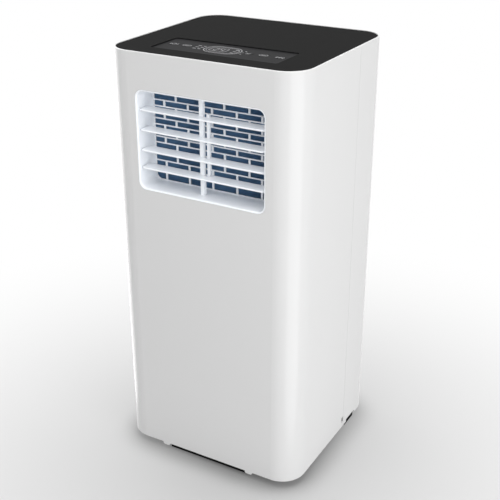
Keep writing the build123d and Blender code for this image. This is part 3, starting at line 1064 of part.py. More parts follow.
def pipe(points):
    """Add a round pipe along straight runs with bends between them."""
    with BuildLine() as path:
        FilletPolyline(*points, radius=PIPE_BEND)
    with BuildSketch(Plane(origin=path.line @ 0, z_dir=path.line % 0)) as section:
        Circle(PIPE_RADIUS)
    sweep(section.sketch, path=path.line)


# Refrigerant pipes: discharge to the condenser, liquid to the evaporator, suction to the accumulator
CONDENSER_END = CONDENSER_WIDTH / 2 + TUBE_STUB
EVAPORATOR_END = EVAPORATOR_WIDTH / 2 + TUBE_STUB
with BuildPart() as refrigerant_pipes:
    discharge_z = COMPRESSOR_TOP + DISCHARGE_RISE
    condenser_top_row = CONDENSER_TUBE_ROWS[-1]
    pipe([
        (COMPRESSOR_X, COMPRESSOR_Y, COMPRESSOR_TOP),
        (COMPRESSOR_X, COMPRESSOR_Y, discharge_z),
        (DISCHARGE_X, COMPRESSOR_Y, discharge_z),
        (DISCHARGE_X, CONDENSER_Y, discharge_z),
        (DISCHARGE_X, CONDENSER_Y, condenser_top_row),
        (-CONDENSER_END, CONDENSER_Y, condenser_top_row),
    ])
    condenser_low_row = CONDENSER_TUBE_ROWS[0]
    evaporator_top_row = EVAPORATOR_TUBE_ROWS[-1]
    pipe([
        (CONDENSER_END, CONDENSER_Y, condenser_low_row),
        (LIQUID_X, CONDENSER_Y, condenser_low_row),
        (LIQUID_X, CONDENSER_Y, evaporator_top_row),
        (LIQUID_X, EVAPORATOR_Y, evaporator_top_row),
        (EVAPORATOR_END, EVAPORATOR_Y, evaporator_top_row),
    ])
    evaporator_low_row = EVAPORATOR_TUBE_ROWS[0]
    pipe([
        (EVAPORATOR_END, EVAPORATOR_Y, evaporator_low_row),
        (SUCTION_X, EVAPORATOR_Y, evaporator_low_row),
        (SUCTION_X, EVAPORATOR_Y, SUCTION_Z),
        (ACCUMULATOR_X, EVAPORATOR_Y, SUCTION_Z),
        (ACCUMULATOR_X, COMPRESSOR_Y, ACCUMULATOR_TOP),
    ])
save(refrigerant_pipes, "refrigerant_pipes")

# Electrical box, open at the back, and the main board on its standoffs
BOX_LEFT = BOX_RIGHT - BOX_WIDTH
BOX_BACK = BOX_FRONT + BOX_DEPTH
BOX_TOP = PLATFORM_Z + BOX_HEIGHT
BOARD_FRONT_Y = BOX_FRONT + BOX_WALL + STANDOFF_LENGTH
BOARD_LEFT = BOX_LEFT + BOX_WALL + MAIN_BOARD_MARGIN
BOARD_RIGHT = BOX_RIGHT - BOX_WALL - MAIN_BOARD_MARGIN
BOARD_LOW = PLATFORM_Z + BOX_WALL + MAIN_BOARD_MARGIN
BOARD_HIGH = BOX_TOP - BOX_WALL - MAIN_BOARD_MARGIN
with BuildPart() as electrical_box:
    block(BOX_LEFT, BOX_RIGHT, BOX_FRONT, BOX_BACK, PLATFORM_Z, BOX_TOP)
    hollow_x = (BOX_LEFT + BOX_WALL, BOX_RIGHT - BOX_WALL)
    hollow_z = (PLATFORM_Z + BOX_WALL, BOX_TOP - BOX_WALL)
    block(*hollow_x, BOX_FRONT + BOX_WALL, BOX_BACK, *hollow_z, Mode.SUBTRACT)
    for x in (BOARD_LEFT, BOARD_RIGHT - STANDOFF_SIZE):
        for z in (BOARD_LOW, BOARD_HIGH - STANDOFF_SIZE):
            block(x, x + STANDOFF_SIZE, BOX_FRONT, BOARD_FRONT_Y, z, z + STANDOFF_SIZE)
save(electrical_box, "electrical_box")

with BuildPart() as main_board:
    block(BOARD_LEFT, BOARD_RIGHT, BOARD_FRONT_Y, BOARD_FRONT_Y + BOARD_THICKNESS, BOARD_LOW, BOARD_HIGH)
save(main_board, "main_board")


def grille_plate(width, height, centre_z):
    """Add a flat grille with rows of slots in columns."""
    plate_width = width - 2 * GRILLE_GAP
    plate_height = height - 2 * GRILLE_GAP
    rows = int((plate_height - 2 * GRILLE_BORDER) / GRILLE_SLOT_PITCH)
    column_pitch = (plate_width - 2 * GRILLE_BORDER + GRILLE_STILE) / GRILLE_COLUMNS
    with BuildSketch(Plane.XZ.offset(GRILLE_THICKNESS - BACK_Y)) as face:
        with Locations((0, centre_z)):
            RectangleRounded(plate_width, plate_height, GRILLE_RADIUS - GRILLE_GAP)
            with GridLocations(column_pitch, GRILLE_SLOT_PITCH, GRILLE_COLUMNS, rows):
                Rectangle(column_pitch - GRILLE_STILE, GRILLE_SLOT_PITCH - GRILLE_SLAT, mode=Mode.SUBTRACT)
    extrude(face.sketch, amount=-GRILLE_THICKNESS)


# Intake grilles, and the filter clipped behind the upper one
with BuildPart() as upper_intake_grille:
    grille_plate(GRILLE_WIDTH, UPPER_GRILLE_HEIGHT, UPPER_GRILLE_Z)
save(upper_intake_grille, "upper_intake_grille")

with BuildPart() as lower_intake_grille:
    grille_plate(LOWER_GRILLE_WIDTH, LOWER_GRILLE_HEIGHT, LOWER_GRILLE_Z)
save(lower_intake_grille, "lower_intake_grille")

with BuildPart() as air_filter:
    FILTER_INSET = 2 * (GRILLE_LEDGE + GRILLE_GAP)
    FILTER_WIDTH = GRILLE_WIDTH - FILTER_INSET
    FILTER_HEIGHT = UPPER_GRILLE_HEIGHT - FILTER_INSET
    FILTER_BACK_Y = BACK_Y - GRILLE_THICKNESS
    CELL_X = (FILTER_WIDTH - 2 * FILTER_BORDER) / FILTER_COLUMNS
    CELL_Z = (FILTER_HEIGHT - 2 * FILTER_BORDER) / FILTER_ROWS
    with BuildSketch(Plane.XZ.offset(FILTER_THICKNESS - FILTER_BACK_Y)) as mesh_face:
        with Locations((0, UPPER_GRILLE_Z)):
            RectangleRounded(FILTER_WIDTH, FILTER_HEIGHT, GRILLE_RADIUS - GRILLE_LEDGE / 2)
            with GridLocations(CELL_X, CELL_Z, FILTER_COLUMNS, FILTER_ROWS):
                Rectangle(CELL_X - FILTER_RIB, CELL_Z - FILTER_RIB, mode=Mode.SUBTRACT)
    extrude(mesh_face.sketch, amount=-FILTER_THICKNESS)
save(air_filter, "air_filter")

# Cord gland: bush in the back wall, flanged inside
with BuildPart() as cord_gland:
    GLAND_RADIUS = GLAND_BORE + GLAND_WALL
    GLAND_FRONT_Y = INNER_BACK_Y - GLAND_FLANGE_THICKNESS
    rod_y(GLAND_X, GLAND_HEIGHT, GLAND_FRONT_Y, INNER_BACK_Y, GLAND_RADIUS + GLAND_FLANGE)
    rod_y(GLAND_X, GLAND_HEIGHT, INNER_BACK_Y, BACK_Y - GLAND_RECESS, GLAND_RADIUS)
    rod_y(GLAND_X, GLAND_HEIGHT, GLAND_FRONT_Y, BACK_Y - GLAND_RECESS, GLAND_BORE, Mode.SUBTRACT)
save(cord_gland, "cord_gland")
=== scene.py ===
"""Looks of the portable air conditioner: finishes, fine pieces, stage, lights and camera."""

import json
import logging
import math
from abc import ABC, abstractmethod
from dataclasses import dataclass
from enum import Enum
from typing import Any, Optional, Union

import bpy
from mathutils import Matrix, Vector


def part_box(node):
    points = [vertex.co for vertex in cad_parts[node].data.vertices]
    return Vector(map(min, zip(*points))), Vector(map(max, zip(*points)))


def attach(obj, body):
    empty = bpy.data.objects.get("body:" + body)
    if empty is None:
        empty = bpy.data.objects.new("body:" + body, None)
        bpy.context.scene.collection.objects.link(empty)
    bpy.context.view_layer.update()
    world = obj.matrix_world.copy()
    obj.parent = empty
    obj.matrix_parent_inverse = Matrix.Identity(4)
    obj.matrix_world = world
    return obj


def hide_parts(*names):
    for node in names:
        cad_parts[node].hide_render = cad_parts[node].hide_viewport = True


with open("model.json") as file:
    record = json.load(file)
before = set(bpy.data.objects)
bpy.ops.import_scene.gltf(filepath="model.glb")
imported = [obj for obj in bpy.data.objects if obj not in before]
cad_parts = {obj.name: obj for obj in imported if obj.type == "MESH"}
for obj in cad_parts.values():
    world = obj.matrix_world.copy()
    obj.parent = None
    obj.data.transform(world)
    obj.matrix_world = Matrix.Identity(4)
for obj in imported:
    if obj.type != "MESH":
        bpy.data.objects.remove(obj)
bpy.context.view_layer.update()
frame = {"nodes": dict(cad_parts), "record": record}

LOG = logging.getLogger("air_conditioner")

# One millimetre in the metres of the scene.
MM = 0.001

# Curve between the numbers of a screen's colour and the light that they stand for.
CHANNEL_TOP = 255
CURVE_FOOT = 0.04045
CURVE_FOOT_SLOPE = 12.92
CURVE_SHIFT = 0.055
CURVE_POWER = 2.4

Colour = tuple[float, float, float, float]
Point = tuple[float, float, float]
Piece = bpy.types.Object

WHITE: Colour = (1.0, 1.0, 1.0, 1.0)


def ink(red: int, green: int, blue: int) -> Colour:
    """Turn a colour as a screen shows it into the linear one that shaders take.

    Args:
        red: red channel, 0 to 255.
        green: green channel, 0 to 255.
        blue: blue channel, 0 to 255.

    Returns:
        Linear red, green, blue and full alpha.
    """
    linear = []
    for channel in (red, green, blue):
        share = channel / CHANNEL_TOP
        if share <= CURVE_FOOT:
            linear.append(share / CURVE_FOOT_SLOPE)
        else:
            linear.append(((share + CURVE_SHIFT) / (1 + CURVE_SHIFT)) ** CURVE_POWER)
    return (linear[0], linear[1], linear[2], 1.0)


def grey(level: int) -> Colour:
    """Return the linear colour of a neutral grey, 0 to 255."""
    return ink(level, level, level)


def shade(colour: Colour, factor: float) -> Colour:
    """Return a lighter or darker tone of a linear colour, by that factor."""
    return (colour[0] * factor, colour[1] * factor, colour[2] * factor, colour[3])


class Body(Enum):
    """Bodies that new pieces ride on."""

    CABINET = "cabinet"
    INTAKE_PANEL = "intake_panel"
    KEY_POWER = "key_power"
    KEY_TIMER = "key_timer"
    KEY_DOWN = "key_down"
    KEY_UP = "key_up"
    KEY_MODE = "key_mode"


class Slot(Enum):
    """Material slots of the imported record."""

    WHITE_SHELL = "white_shell"
    WHITE_REAR = "white_rear"
    WHITE_LOUVRE = "white_louvre"
    DARK_PAN = "dark_pan"
    BLACK_LID = "black_lid"
    FASCIA = "fascia"
    DISPLAY_LENS = "display_lens"
    DISPLAY_MODULE = "display_module"
    KEY_CAP = "key_cap"
    BLACK_PLASTIC = "black_plastic"
    CIRCUIT_BOARD = "circuit_board"
    BLUE_FINS = "blue_fins"
    ALUMINIUM_FINS = "aluminium_fins"
    COPPER = "copper"
    INNER_PLASTIC = "inner_plastic"
    FAN_PLASTIC = "fan_plastic"
    MOTOR_STEEL = "motor_steel"
    GALVANISED = "galvanised"
    COMPRESSOR_PAINT = "compressor_paint"
    BLACK_RUBBER = "black_rubber"
    FILTER_MESH = "filter_mesh"
    SCREW_STEEL = "screw_steel"
    CASTER_FORK = "caster_fork"
    CASTER_WHEEL = "caster_wheel"


class Signal:
    """A shader socket that takes part in Python arithmetic."""

    def __init__(self, bench: "Bench", socket: bpy.types.NodeSocket) -> None:
        """Keep the socket and the bench whose nodes it belongs to."""
        self.bench = bench
        self.socket = socket

    def _math(self, operation: str, *operands: "Value") -> "Signal":
        """Add a Math node for one operation."""
        inputs = dict(enumerate(operands))
        return self.bench.node("ShaderNodeMath", {"operation": operation}, inputs)

    def __add__(self, other: "Value") -> "Signal":
        """Sum with a number or another signal."""
        return self._math("ADD", self, other)

    __radd__ = __add__

    def __sub__(self, other: "Value") -> "Signal":
        """Difference from a number or another signal."""
        return self._math("SUBTRACT", self, other)

    def __rsub__(self, other: "Value") -> "Signal":
        """Difference of a number from this signal."""
        return self._math("SUBTRACT", other, self)

    def __mul__(self, other: "Value") -> "Signal":
        """Product with a number or another signal."""
        return self._math("MULTIPLY", self, other)

    __rmul__ = __mul__

    def sine(self) -> "Signal":
        """Sine of the signal, in radians."""
        return self._math("SINE", self)

    def size(self) -> "Signal":
        """Absolute value."""
        return self._math("ABSOLUTE", self)

    def above(self, limit: float) -> "Signal":
        """One where the signal passes a limit, else zero."""
        return self._math("GREATER_THAN", self, limit)

    def larger(self, other: "Value") -> "Signal":
        """The larger of two signals."""
        return self._math("MAXIMUM", self, other)

    def ramp(self, low: float, high: float) -> "Signal":
        """Ease from zero at one level to one at another."""
        inputs = {"Value": self, "From Min": low, "From Max": high}
        return self.bench.node(
            "ShaderNodeMapRange", {"interpolation_type": "SMOOTHSTEP"}, inputs)


Value = Union[Signal, float, Colour, Point]
Sockets = dict[str, Value]


class Bench:
    """One node tree, and the single method that adds nodes to it."""

    def __init__(self, tree: bpy.types.NodeTree) -> None:
        """Empty the tree that is to be filled."""
        self.tree = tree
        tree.nodes.clear()

    def node(self, kind: str, settings: Optional[dict[str, Any]] = None,
             inputs: Optional[dict[Any, Value]] = None, output: Union[int, str] = 0) -> Signal:
        """Add a node.

        Args:
            kind: the node's type.
            settings: properties, set first.
            inputs: a number, a colour or a signal for each socket, by name or index.
            output: which of its outputs is wanted.

        Returns:
            The signal of that output, or of the first input of a node that ends the tree.
        """
        made = self.tree.nodes.new(kind)
        for name, setting in (settings or {}).items():
            setattr(made, name, setting)
        for key, value in (inputs or {}).items():
            if isinstance(value, Signal):
                self.tree.links.new(value.socket, made.inputs[key])
            else:
                made.inputs[key].default_value = value
        return Signal(self, made.outputs[output] if made.outputs else made.inputs[0])

    def place(self) -> Signal:
        """Position on the piece, in metres."""
        return self.node("ShaderNodeTexCoord", output="Object")

    def wave(self, place: Signal, axis: str, pitch: float) -> Signal:
        """Sine wave along one axis, with that pitch in metres."""
        along = self.node("ShaderNodeSeparateXYZ", None, {0: place}, axis)
        return (along * (2 * math.pi / pitch)).sine()

    def noise(self, place: Signal, pitch: float, detail: float = 2.0) -> Signal:
        """Cloudy noise from zero to one, with lumps of about that pitch in metres."""
        inputs = {"Vector": place, "Scale": 1 / pitch, "Detail": detail}
        return self.node("ShaderNodeTexNoise", None, inputs)

    def cells(self, place: Signal, pitch: float) -> Signal:
        """Split the space into cells, each with a level of its own.

        Args:
            place: position on the piece.
            pitch: about the size of a cell, in metres.

        Returns:
            A level from zero to one that is the same all over a cell.
        """
        inputs = {"Vector": place, "Scale": 1 / pitch}
        colour = self.node("ShaderNodeTexVoronoi", None, inputs, "Color")
        return self.node("ShaderNodeSeparateColor", None, {0: colour})

    def blend(self, factor: Value, low: Value, high: Value) -> Signal:
        """Colour between two colours."""
        inputs = {0: factor, 6: low, 7: high}
        return self.node("ShaderNodeMix", {"data_type": "RGBA"}, inputs, 2)

    def tones(self, factor: Value, colour: Colour, spread: float) -> Signal:
        """Colour that strays to darker and lighter tones by a share of itself."""
        return self.blend(factor, shade(colour, 1 - spread), shade(colour, 1 + spread))

    def bump(self, height: Signal, depth: float) -> Signal:
        """Normal of a surface that is raised by a signal, by that depth in metres."""
        inputs = {"Height": height, "Distance": depth, "Strength": 1.0}
        return self.node("ShaderNodeBump", None, inputs)

    def surface(self, sockets: Sockets) -> None:
        """End the tree in a Principled shader with these sockets."""
        shader = self.node("ShaderNodeBsdfPrincipled", None, sockets)
        self.node("ShaderNodeOutputMaterial", None, {"Surface": shader})


def new_material(name: str) -> tuple[bpy.types.Material, Bench]:
    """Make an empty material.

    Args:
        name: the material's name.

    Returns:
        The material and the bench for its nodes.
    """
    material = bpy.data.materials.new(name)
    material.use_nodes = True
    return material, Bench(material.node_tree)


class Finish(ABC):
    """A surface that can make its own material.

    Lengths are in metres: a grain, a patch or a pitch is the size of a pattern, and a depth is how
    far it is raised. A gloss is how much roughness a pattern adds where it is strongest.
    """

    def material(self, name: str) -> bpy.types.Material:
        """Make the material.

        Args:
            name: the material's name.

        Returns:
            The material, with its nodes in place.
        """
        material, bench = new_material(name)
        bench.surface(self.sockets(bench, bench.place()))
        return material

    @abstractmethod
    def sockets(self, bench: Bench, place: Signal) -> Sockets:
        """Work out the shader's sockets.

        Args:
            bench: adds the nodes.
            place: position on the piece.

        Returns:
            A value or a signal for each socket that is set.
        """


@dataclass(frozen=True)
class Moulding(Finish):
    """Moulded plastic or rubber with a fine skin and a slow mottling."""

    colour: Colour
    roughness: float
    grain: float
    depth: float
    mottle: float
    specular: float = 0.5
    coat: float = 0.0
    coat_roughness: float = 0.12
    patch: float = 90 * MM
    patch_gloss: float = 0.06
    skin_gloss: float = 0.08
    skin_detail: float = 3.0

    def sockets(self, bench: Bench, place: Signal) -> Sockets:
        """Mottle the colour and raise the skin.

        Args:
            bench: adds the nodes.
            place: position on the piece.

        Returns:
            A value or a signal for each socket that is set.
        """
        cloud = bench.noise(place, self.patch)
        skin = bench.noise(place, self.grain, self.skin_detail)
        smoothest = self.roughness - (self.skin_gloss + self.patch_gloss) / 2
        return {
            "Base Color": bench.tones(cloud, self.colour, self.mottle),
            "Roughness": skin * self.skin_gloss + cloud * self.patch_gloss + smoothest,
            "Normal": bench.bump(skin, self.depth),
            "Specular IOR Level": self.specular,
            "Coat Weight": self.coat,
            "Coat Roughness": self.coat_roughness,
        }


@dataclass(frozen=True)
class FinCoat(Finish):
    """Thin fin stock, drifting in tone, with lighter and darker bands along its ripples."""

    colour: Colour
    metallic: float
    roughness: float
    ripple: float = 4.5 * MM
    ripple_share: float = 0.12
    drift: float = 30 * MM
    drift_gloss: float = 0.12
    spread: float = 0.14
    grain: float = 1.2 * MM
    depth: float = 0.03 * MM

    def sockets(self, bench: Bench, place: Signal) -> Sockets:
        """Let the tone drift, and band it along the ripples.

        Args:
            bench: adds the nodes.
            place: position on the piece.

        Returns:
            A value or a signal for each socket that is set.
        """
        drift = bench.noise(place, self.drift)
        # Colour drifts slowly, and a sine wave makes it lighter and darker in bands along Y.
        drift_and_bands = drift + bench.wave(place, "Y", self.ripple) * self.ripple_share
        return {
            "Base Color": bench.tones(drift_and_bands, self.colour, self.spread),
            "Metallic": self.metallic,
            "Roughness": drift * self.drift_gloss + (self.roughness - self.drift_gloss / 2),
            "Normal": bench.bump(bench.noise(place, self.grain), self.depth),
        }


@dataclass(frozen=True)
class BareMetal(Finish):
    """Bare or plated metal with tarnish and, where it is galvanised, spangle."""

    colour: Colour
    tarnish: Colour
    roughness: float
    patch: float
    spangle: float = 0.0
    stain_detail: float = 4.0
    stain_start: float = 0.42
    stain_full: float = 0.68
    stain_share: float = 0.7
    stain_gloss: float = 0.18
    grain: float = 1.5 * MM
    grain_gloss: float = 0.16
    gloss_shift: float = 0.1
    depth: float = 0.02 * MM

    def sockets(self, bench: Bench, place: Signal) -> Sockets:
        """Stain the metal and vary its gleam.

        Args:
            bench: adds the nodes.
            place: position on the piece.

        Returns:
            A value or a signal for each socket that is set.
        """
        cloud = bench.noise(place, self.patch, self.stain_detail)
        stain = cloud.ramp(self.stain_start, self.stain_full)
        if self.spangle:
            gleam = bench.cells(place, self.spangle)
        else:
            gleam = bench.noise(place, self.grain)
        dulling = stain * self.stain_gloss + gleam * self.grain_gloss
        return {
            "Base Color": bench.blend(stain * self.stain_share, self.colour, self.tarnish),
            "Metallic": 1.0,
            "Roughness": dulling + (self.roughness - self.gloss_shift),
            "Normal": bench.bump(gleam, self.depth),
        }


@dataclass(frozen=True)
class Laminate(Finish):
    """Circuit board: lacquered laminate with darker lanes of copper under the lacquer."""

    colour: Colour
    lane: Colour
    roughness: float = 0.26
    pitch: float = 3.6 * MM
    lane_level: float = 0.35
    lane_share: float = 0.8
    region: float = 14 * MM
    region_level: float = 0.5
    haze: float = 4 * MM
    haze_gloss: float = 0.1
    depth: float = 0.03 * MM
    coat: float = 0.3

    def sockets(self, bench: Bench, place: Signal) -> Sockets:
        """Run the lanes across in some regions of the board and upward in the others.

        Args:
            bench: adds the nodes.
            place: position on the piece.

        Returns:
            A value or a signal for each socket that is set.
        """
        across = bench.wave(place, "X", self.pitch)
        upward = bench.wave(place, "Z", self.pitch)
        choice = bench.cells(place, self.region).above(self.region_level)
        lanes = (across * choice + upward * (1 - choice)).above(self.lane_level)
        return {
            "Base Color": bench.blend(lanes * self.lane_share, self.colour, self.lane),
            "Roughness": bench.noise(place, self.haze) * self.haze_gloss + self.roughness,
            "Normal": bench.bump(lanes, self.depth),
            "Coat Weight": self.coat,
        }


@dataclass(frozen=True)
class Net(Finish):
    """Woven filter net: threads both ways, open between them."""

    colour: Colour
    roughness: float = 0.75
    pitch: float = 1.6 * MM
    share: float = 0.55
    dust: float = 20 * MM
    spread: float = 0.2
    depth: float = 0.1 * MM

    def sockets(self, bench: Bench, place: Signal) -> Sockets:
        """Cross the threads and open the holes.

        Args:
            bench: adds the nodes.
            place: position on the piece.

        Returns:
            A value or a signal for each socket that is set.
        """
        warp = bench.wave(place, "X", 2 * self.pitch).size()
        weft = bench.wave(place, "Z", 2 * self.pitch).size()
        thread = warp.larger(weft)
        return {
            "Base Color": bench.tones(bench.noise(place, self.dust), self.colour, self.spread),
            "Roughness": self.roughness,
            "Alpha": thread.above(1 - self.share / 2),
            "Normal": bench.bump(thread, self.depth),
        }


@dataclass(frozen=True)
class Print(Finish):
    """Printed marks: flat ink with a faint speckle."""

    colour: Colour
    roughness: float = 0.5
    speckle: float = 0.9 * MM
    speckle_gloss: float = 0.1
    spread: float = 0.18

    def sockets(self, bench: Bench, place: Signal) -> Sockets:
        """Speckle the ink.

        Args:
            bench: adds the nodes.
            place: position on the piece.

        Returns:
            A value or a signal for each socket that is set.
        """
        speckle = bench.noise(place, self.speckle)
        smoothest = self.roughness - self.speckle_gloss / 2
        return {
            "Base Color": bench.tones(speckle, self.colour, self.spread),
            "Roughness": speckle * self.speckle_gloss + smoothest,
        }


SHELL_WHITE = Moulding(
    grey(218), roughness=0.14, grain=3.0 * MM, depth=0.002 * MM, mottle=0.005, specular=0.25)

FINISHES: dict[Slot, Finish] = {
    Slot.WHITE_SHELL: SHELL_WHITE,
    Slot.WHITE_REAR: SHELL_WHITE,
    Slot.WHITE_LOUVRE: Moulding(
        ink(248, 251, 255), roughness=0.17, grain=1.4 * MM, depth=0.003 * MM, mottle=0.006),
    Slot.DARK_PAN: Moulding(
        ink(12, 12, 13), roughness=0.7, grain=0.9 * MM, depth=0.02 * MM, mottle=0.1,
        specular=0.04),
    Slot.BLACK_LID: Moulding(
        grey(33), roughness=0.6, grain=0.6 * MM, depth=0.02 * MM, mottle=0.05, specular=0.006),
    Slot.FASCIA: Moulding(
        ink(40, 40, 41), roughness=0.42, grain=0.4 * MM, depth=0.006 * MM, mottle=0.06,
        specular=0.01),
    Slot.DISPLAY_LENS: Moulding(
        ink(44, 44, 45), roughness=0.4, grain=4.0 * MM, depth=0.002 * MM, mottle=0.05,
        specular=0.014),
    Slot.DISPLAY_MODULE: Moulding(
        ink(40, 41, 44), roughness=0.5, grain=1.0 * MM, depth=0.01 * MM, mottle=0.05),
    Slot.KEY_CAP: Moulding(
        ink(42, 42, 43), roughness=0.42, grain=0.4 * MM, depth=0.006 * MM, mottle=0.06,
        specular=0.01),
    Slot.BLACK_PLASTIC: Moulding(
        ink(30, 30, 31), roughness=0.5, grain=0.9 * MM, depth=0.01 * MM, mottle=0.06),
    Slot.CIRCUIT_BOARD: Laminate(ink(28, 92, 58), lane=ink(20, 66, 42)),
    Slot.BLUE_FINS: FinCoat(ink(114, 154, 194), metallic=0.0, roughness=0.5),
    Slot.ALUMINIUM_FINS: FinCoat(ink(196, 199, 202), metallic=0.85, roughness=0.4),
    Slot.COPPER: BareMetal(
        ink(214, 140, 100), tarnish=ink(120, 72, 48), roughness=0.34, patch=30 * MM),
    Slot.INNER_PLASTIC: Moulding(
        ink(150, 151, 152), roughness=0.55, grain=1.2 * MM, depth=0.01 * MM, mottle=0.04),
    Slot.FAN_PLASTIC: Moulding(
        ink(52, 53, 55), roughness=0.5, grain=1.2 * MM, depth=0.01 * MM, mottle=0.05),
    Slot.MOTOR_STEEL: BareMetal(
        ink(150, 152, 154), tarnish=ink(104, 103, 100), roughness=0.42, patch=25 * MM),
    Slot.GALVANISED: BareMetal(
        ink(186, 189, 192), tarnish=ink(148, 150, 150), roughness=0.42, patch=50 * MM,
        spangle=8 * MM),
    Slot.COMPRESSOR_PAINT: Moulding(
        ink(26, 26, 27), roughness=0.34, grain=1.8 * MM, depth=0.06 * MM, mottle=0.08, coat=0.4),
    Slot.BLACK_RUBBER: Moulding(
        grey(30), roughness=0.75, grain=0.7 * MM, depth=0.02 * MM, mottle=0.08, specular=0.25),
    Slot.FILTER_MESH: Moulding(
        ink(70, 74, 80), roughness=0.6, grain=0.8 * MM, depth=0.01 * MM, mottle=0.05),
    Slot.SCREW_STEEL: BareMetal(
        ink(120, 120, 122), tarnish=grey(70), roughness=0.4, patch=4 * MM),
    Slot.CASTER_FORK: Moulding(
        ink(205, 205, 206), roughness=0.45, grain=0.9 * MM, depth=0.01 * MM, mottle=0.02),
    Slot.CASTER_WHEEL: Moulding(
        grey(222), roughness=0.5, grain=1.1 * MM, depth=0.02 * MM, mottle=0.03),
}


class Dresser:
    """Gives every carried-over node the finish of its slot, and new pieces theirs."""

    def __init__(self) -> None:
        """Start with no material made."""
        self.made: dict[str, bpy.types.Material] = {}

    def dress(self, piece: Piece, name: str, finish: Finish) -> None:
        """Give a piece one finish all over.

        Args:
            piece: the piece, whose other materials are taken off.
            name: name of the material, which is made on first use.
            finish: what the material is made from.
        """
        if name not in self.made:
            self.made[name] = finish.material(name)
        piece.data.materials.clear()
        piece.data.materials.append(self.made[name])

    def dress_nodes(self) -> None:
        """Give every node the finish that its slot names."""
        for row in frame["record"]["subparts"]:
            slot = Slot(row["material_slot"])
            self.dress(frame["nodes"][row["node"]], slot.value, FINISHES[slot])
            LOG.info("%s: finish %s", row["node"], slot.value)


class Shaper:
    """Modelling by operators, one object at a time."""

    @staticmethod
    def start() -> None:
        """Go to object mode with nothing selected."""
        if bpy.context.object and bpy.context.object.mode != "OBJECT":
            bpy.ops.object.mode_set(mode="OBJECT")
        bpy.ops.object.select_all(action="DESELECT")

    @staticmethod
    def edit() -> None:
        """Edit the active object with all of it selected."""
        bpy.ops.object.mode_set(mode="EDIT")
        bpy.ops.mesh.select_all(action="SELECT")

    @staticmethod
    def settle(name: str) -> Piece:
        """Leave edit mode and put the active object's place into its mesh.

        Args:
            name: the object's name.

        Returns:
            The object, at the origin.
        """
        bpy.ops.object.mode_set(mode="OBJECT")
        bpy.ops.object.transform_apply(location=True, rotation=True, scale=True)
        piece = bpy.context.object
        piece.name = name
        piece.data.name = name
        return piece

    @staticmethod
    def pleat(name: str, start: Vector, step: Vector, side: Vector,
              height: float, folds: int) -> Piece:
        """Fold an upright strip to and fro.

        Args:
            name: the object's name.
            start: lower end of its first edge.
            step: the way from one fold to the next.
            side: how far every second fold lies to the side.
            height: height of the strip.
            folds: number of its panels.

        Returns:
            The folded strip, without thickness.
        """
        Shaper.start()
        centre = start + step / 2 + Vector((0, 0, height / 2))
        upright = (math.pi / 2, 0, math.atan2(step.y, step.x))
        bpy.ops.mesh.primitive_plane_add(size=1, location=centre, rotation=upright)
        bpy.context.object.scale = (step.length, height, 1)
        bpy.ops.object.transform_apply(location=True, rotation=True, scale=True)
        mesh = bpy.context.object.data
        for vertex in mesh.vertices:
            vertex.select = (vertex.co - centre).dot(step) > 0
        for edge in mesh.edges:
            edge.select = all(mesh.vertices[index].select for index in edge.vertices)
        for face in mesh.polygons:
            face.select = False
        bpy.ops.object.mode_set(mode="EDIT")
        bpy.ops.mesh.select_mode(type="EDGE")
        for fold in range(folds - 1):
            move = step + (side if fold % 2 == 0 else -side)
            bpy.ops.mesh.extrude_region_move(TRANSFORM_OT_translate={"value": move})
        return Shaper.settle(name)

    @staticmethod
    def modify(piece: Piece, kind: str, settings: dict[str, Any]) -> None:
        """Add a modifier and apply it.

        Args:
            piece: the piece that it changes.
            kind: the modifier's type.
            settings: its properties.
        """
        bpy.context.view_layer.objects.active = piece
        modifier = piece.modifiers.new(kind.lower(), kind)
        for name, setting in settings.items():
            setattr(modifier, name, setting)
        bpy.ops.object.modifier_apply(modifier=modifier.name)

    @staticmethod
    def join(pieces: list[Piece]) -> None:
        """Join two or more objects into the first of them, and leave that one active.

        Args:
            pieces: the objects.
        """
        Shaper.start()
        for piece in pieces:
            piece.select_set(True)
        bpy.context.view_layer.objects.active = pieces[0]
        bpy.ops.object.join()

    @staticmethod
    def keep(piece: Piece, body: Body, slot: Slot) -> None:
        """Let a finished piece ride on a body."""
        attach(piece, body.value)


class Assembly(ABC):
    """A group of new pieces that is built, then dressed."""

    @abstractmethod
    def build(self) -> list[Piece]:
        """Model the pieces.

        Returns:
            The pieces, without finish.
        """

    @abstractmethod
    def dress(self, pieces: list[Piece], dresser: Dresser) -> None:
        """Finish the pieces and let them ride on their bodies.

        Args:
            pieces: what build returned.
            dresser: gives the finishes.
        """


@dataclass
class FinPack(Assembly):
    """Fine fins in the place of a coil's slotted block."""

    node: str
    slot: Slot
    pitch: float = 1.8 * MM
    thickness: float = 0.22 * MM
    folds: int = 8
    fold_depth: float = 0.45 * MM

    def build(self) -> list[Piece]:
        """Fold one fin from front to back, then repeat it across the coil.

        Returns:
            The fins, as one piece.
        """
        low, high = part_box(self.node)
        margin = self.fold_depth + self.thickness
        start = Vector((low.x + margin, low.y, low.z))
        step = Vector((0, (high.y - low.y) / self.folds, 0))
        side = Vector((self.fold_depth, 0, 0))
        height = high.z - low.z
        fin = Shaper.pleat(f"{self.node}_fine", start, step, side, height, self.folds)
        Shaper.modify(fin, "SOLIDIFY", {"thickness": self.thickness, "offset": 0.0})
        Shaper.modify(fin, "ARRAY", {
            "count": int((high.x - low.x - 2 * margin) / self.pitch),
            "use_relative_offset": False,
            "use_constant_offset": True,
            "constant_offset_displace": (self.pitch, 0, 0),
        })
        return [fin]

    def dress(self, pieces: list[Piece], dresser: Dresser) -> None:
        """Finish the fins and let them stand for the block.

        Args:
            pieces: the fins.
            dresser: gives the finishes.
        """
        for fin in pieces:
            dresser.dress(fin, self.slot.value, FINISHES[self.slot])
            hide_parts(self.node)
            Shaper.keep(fin, Body.CABINET, self.slot)


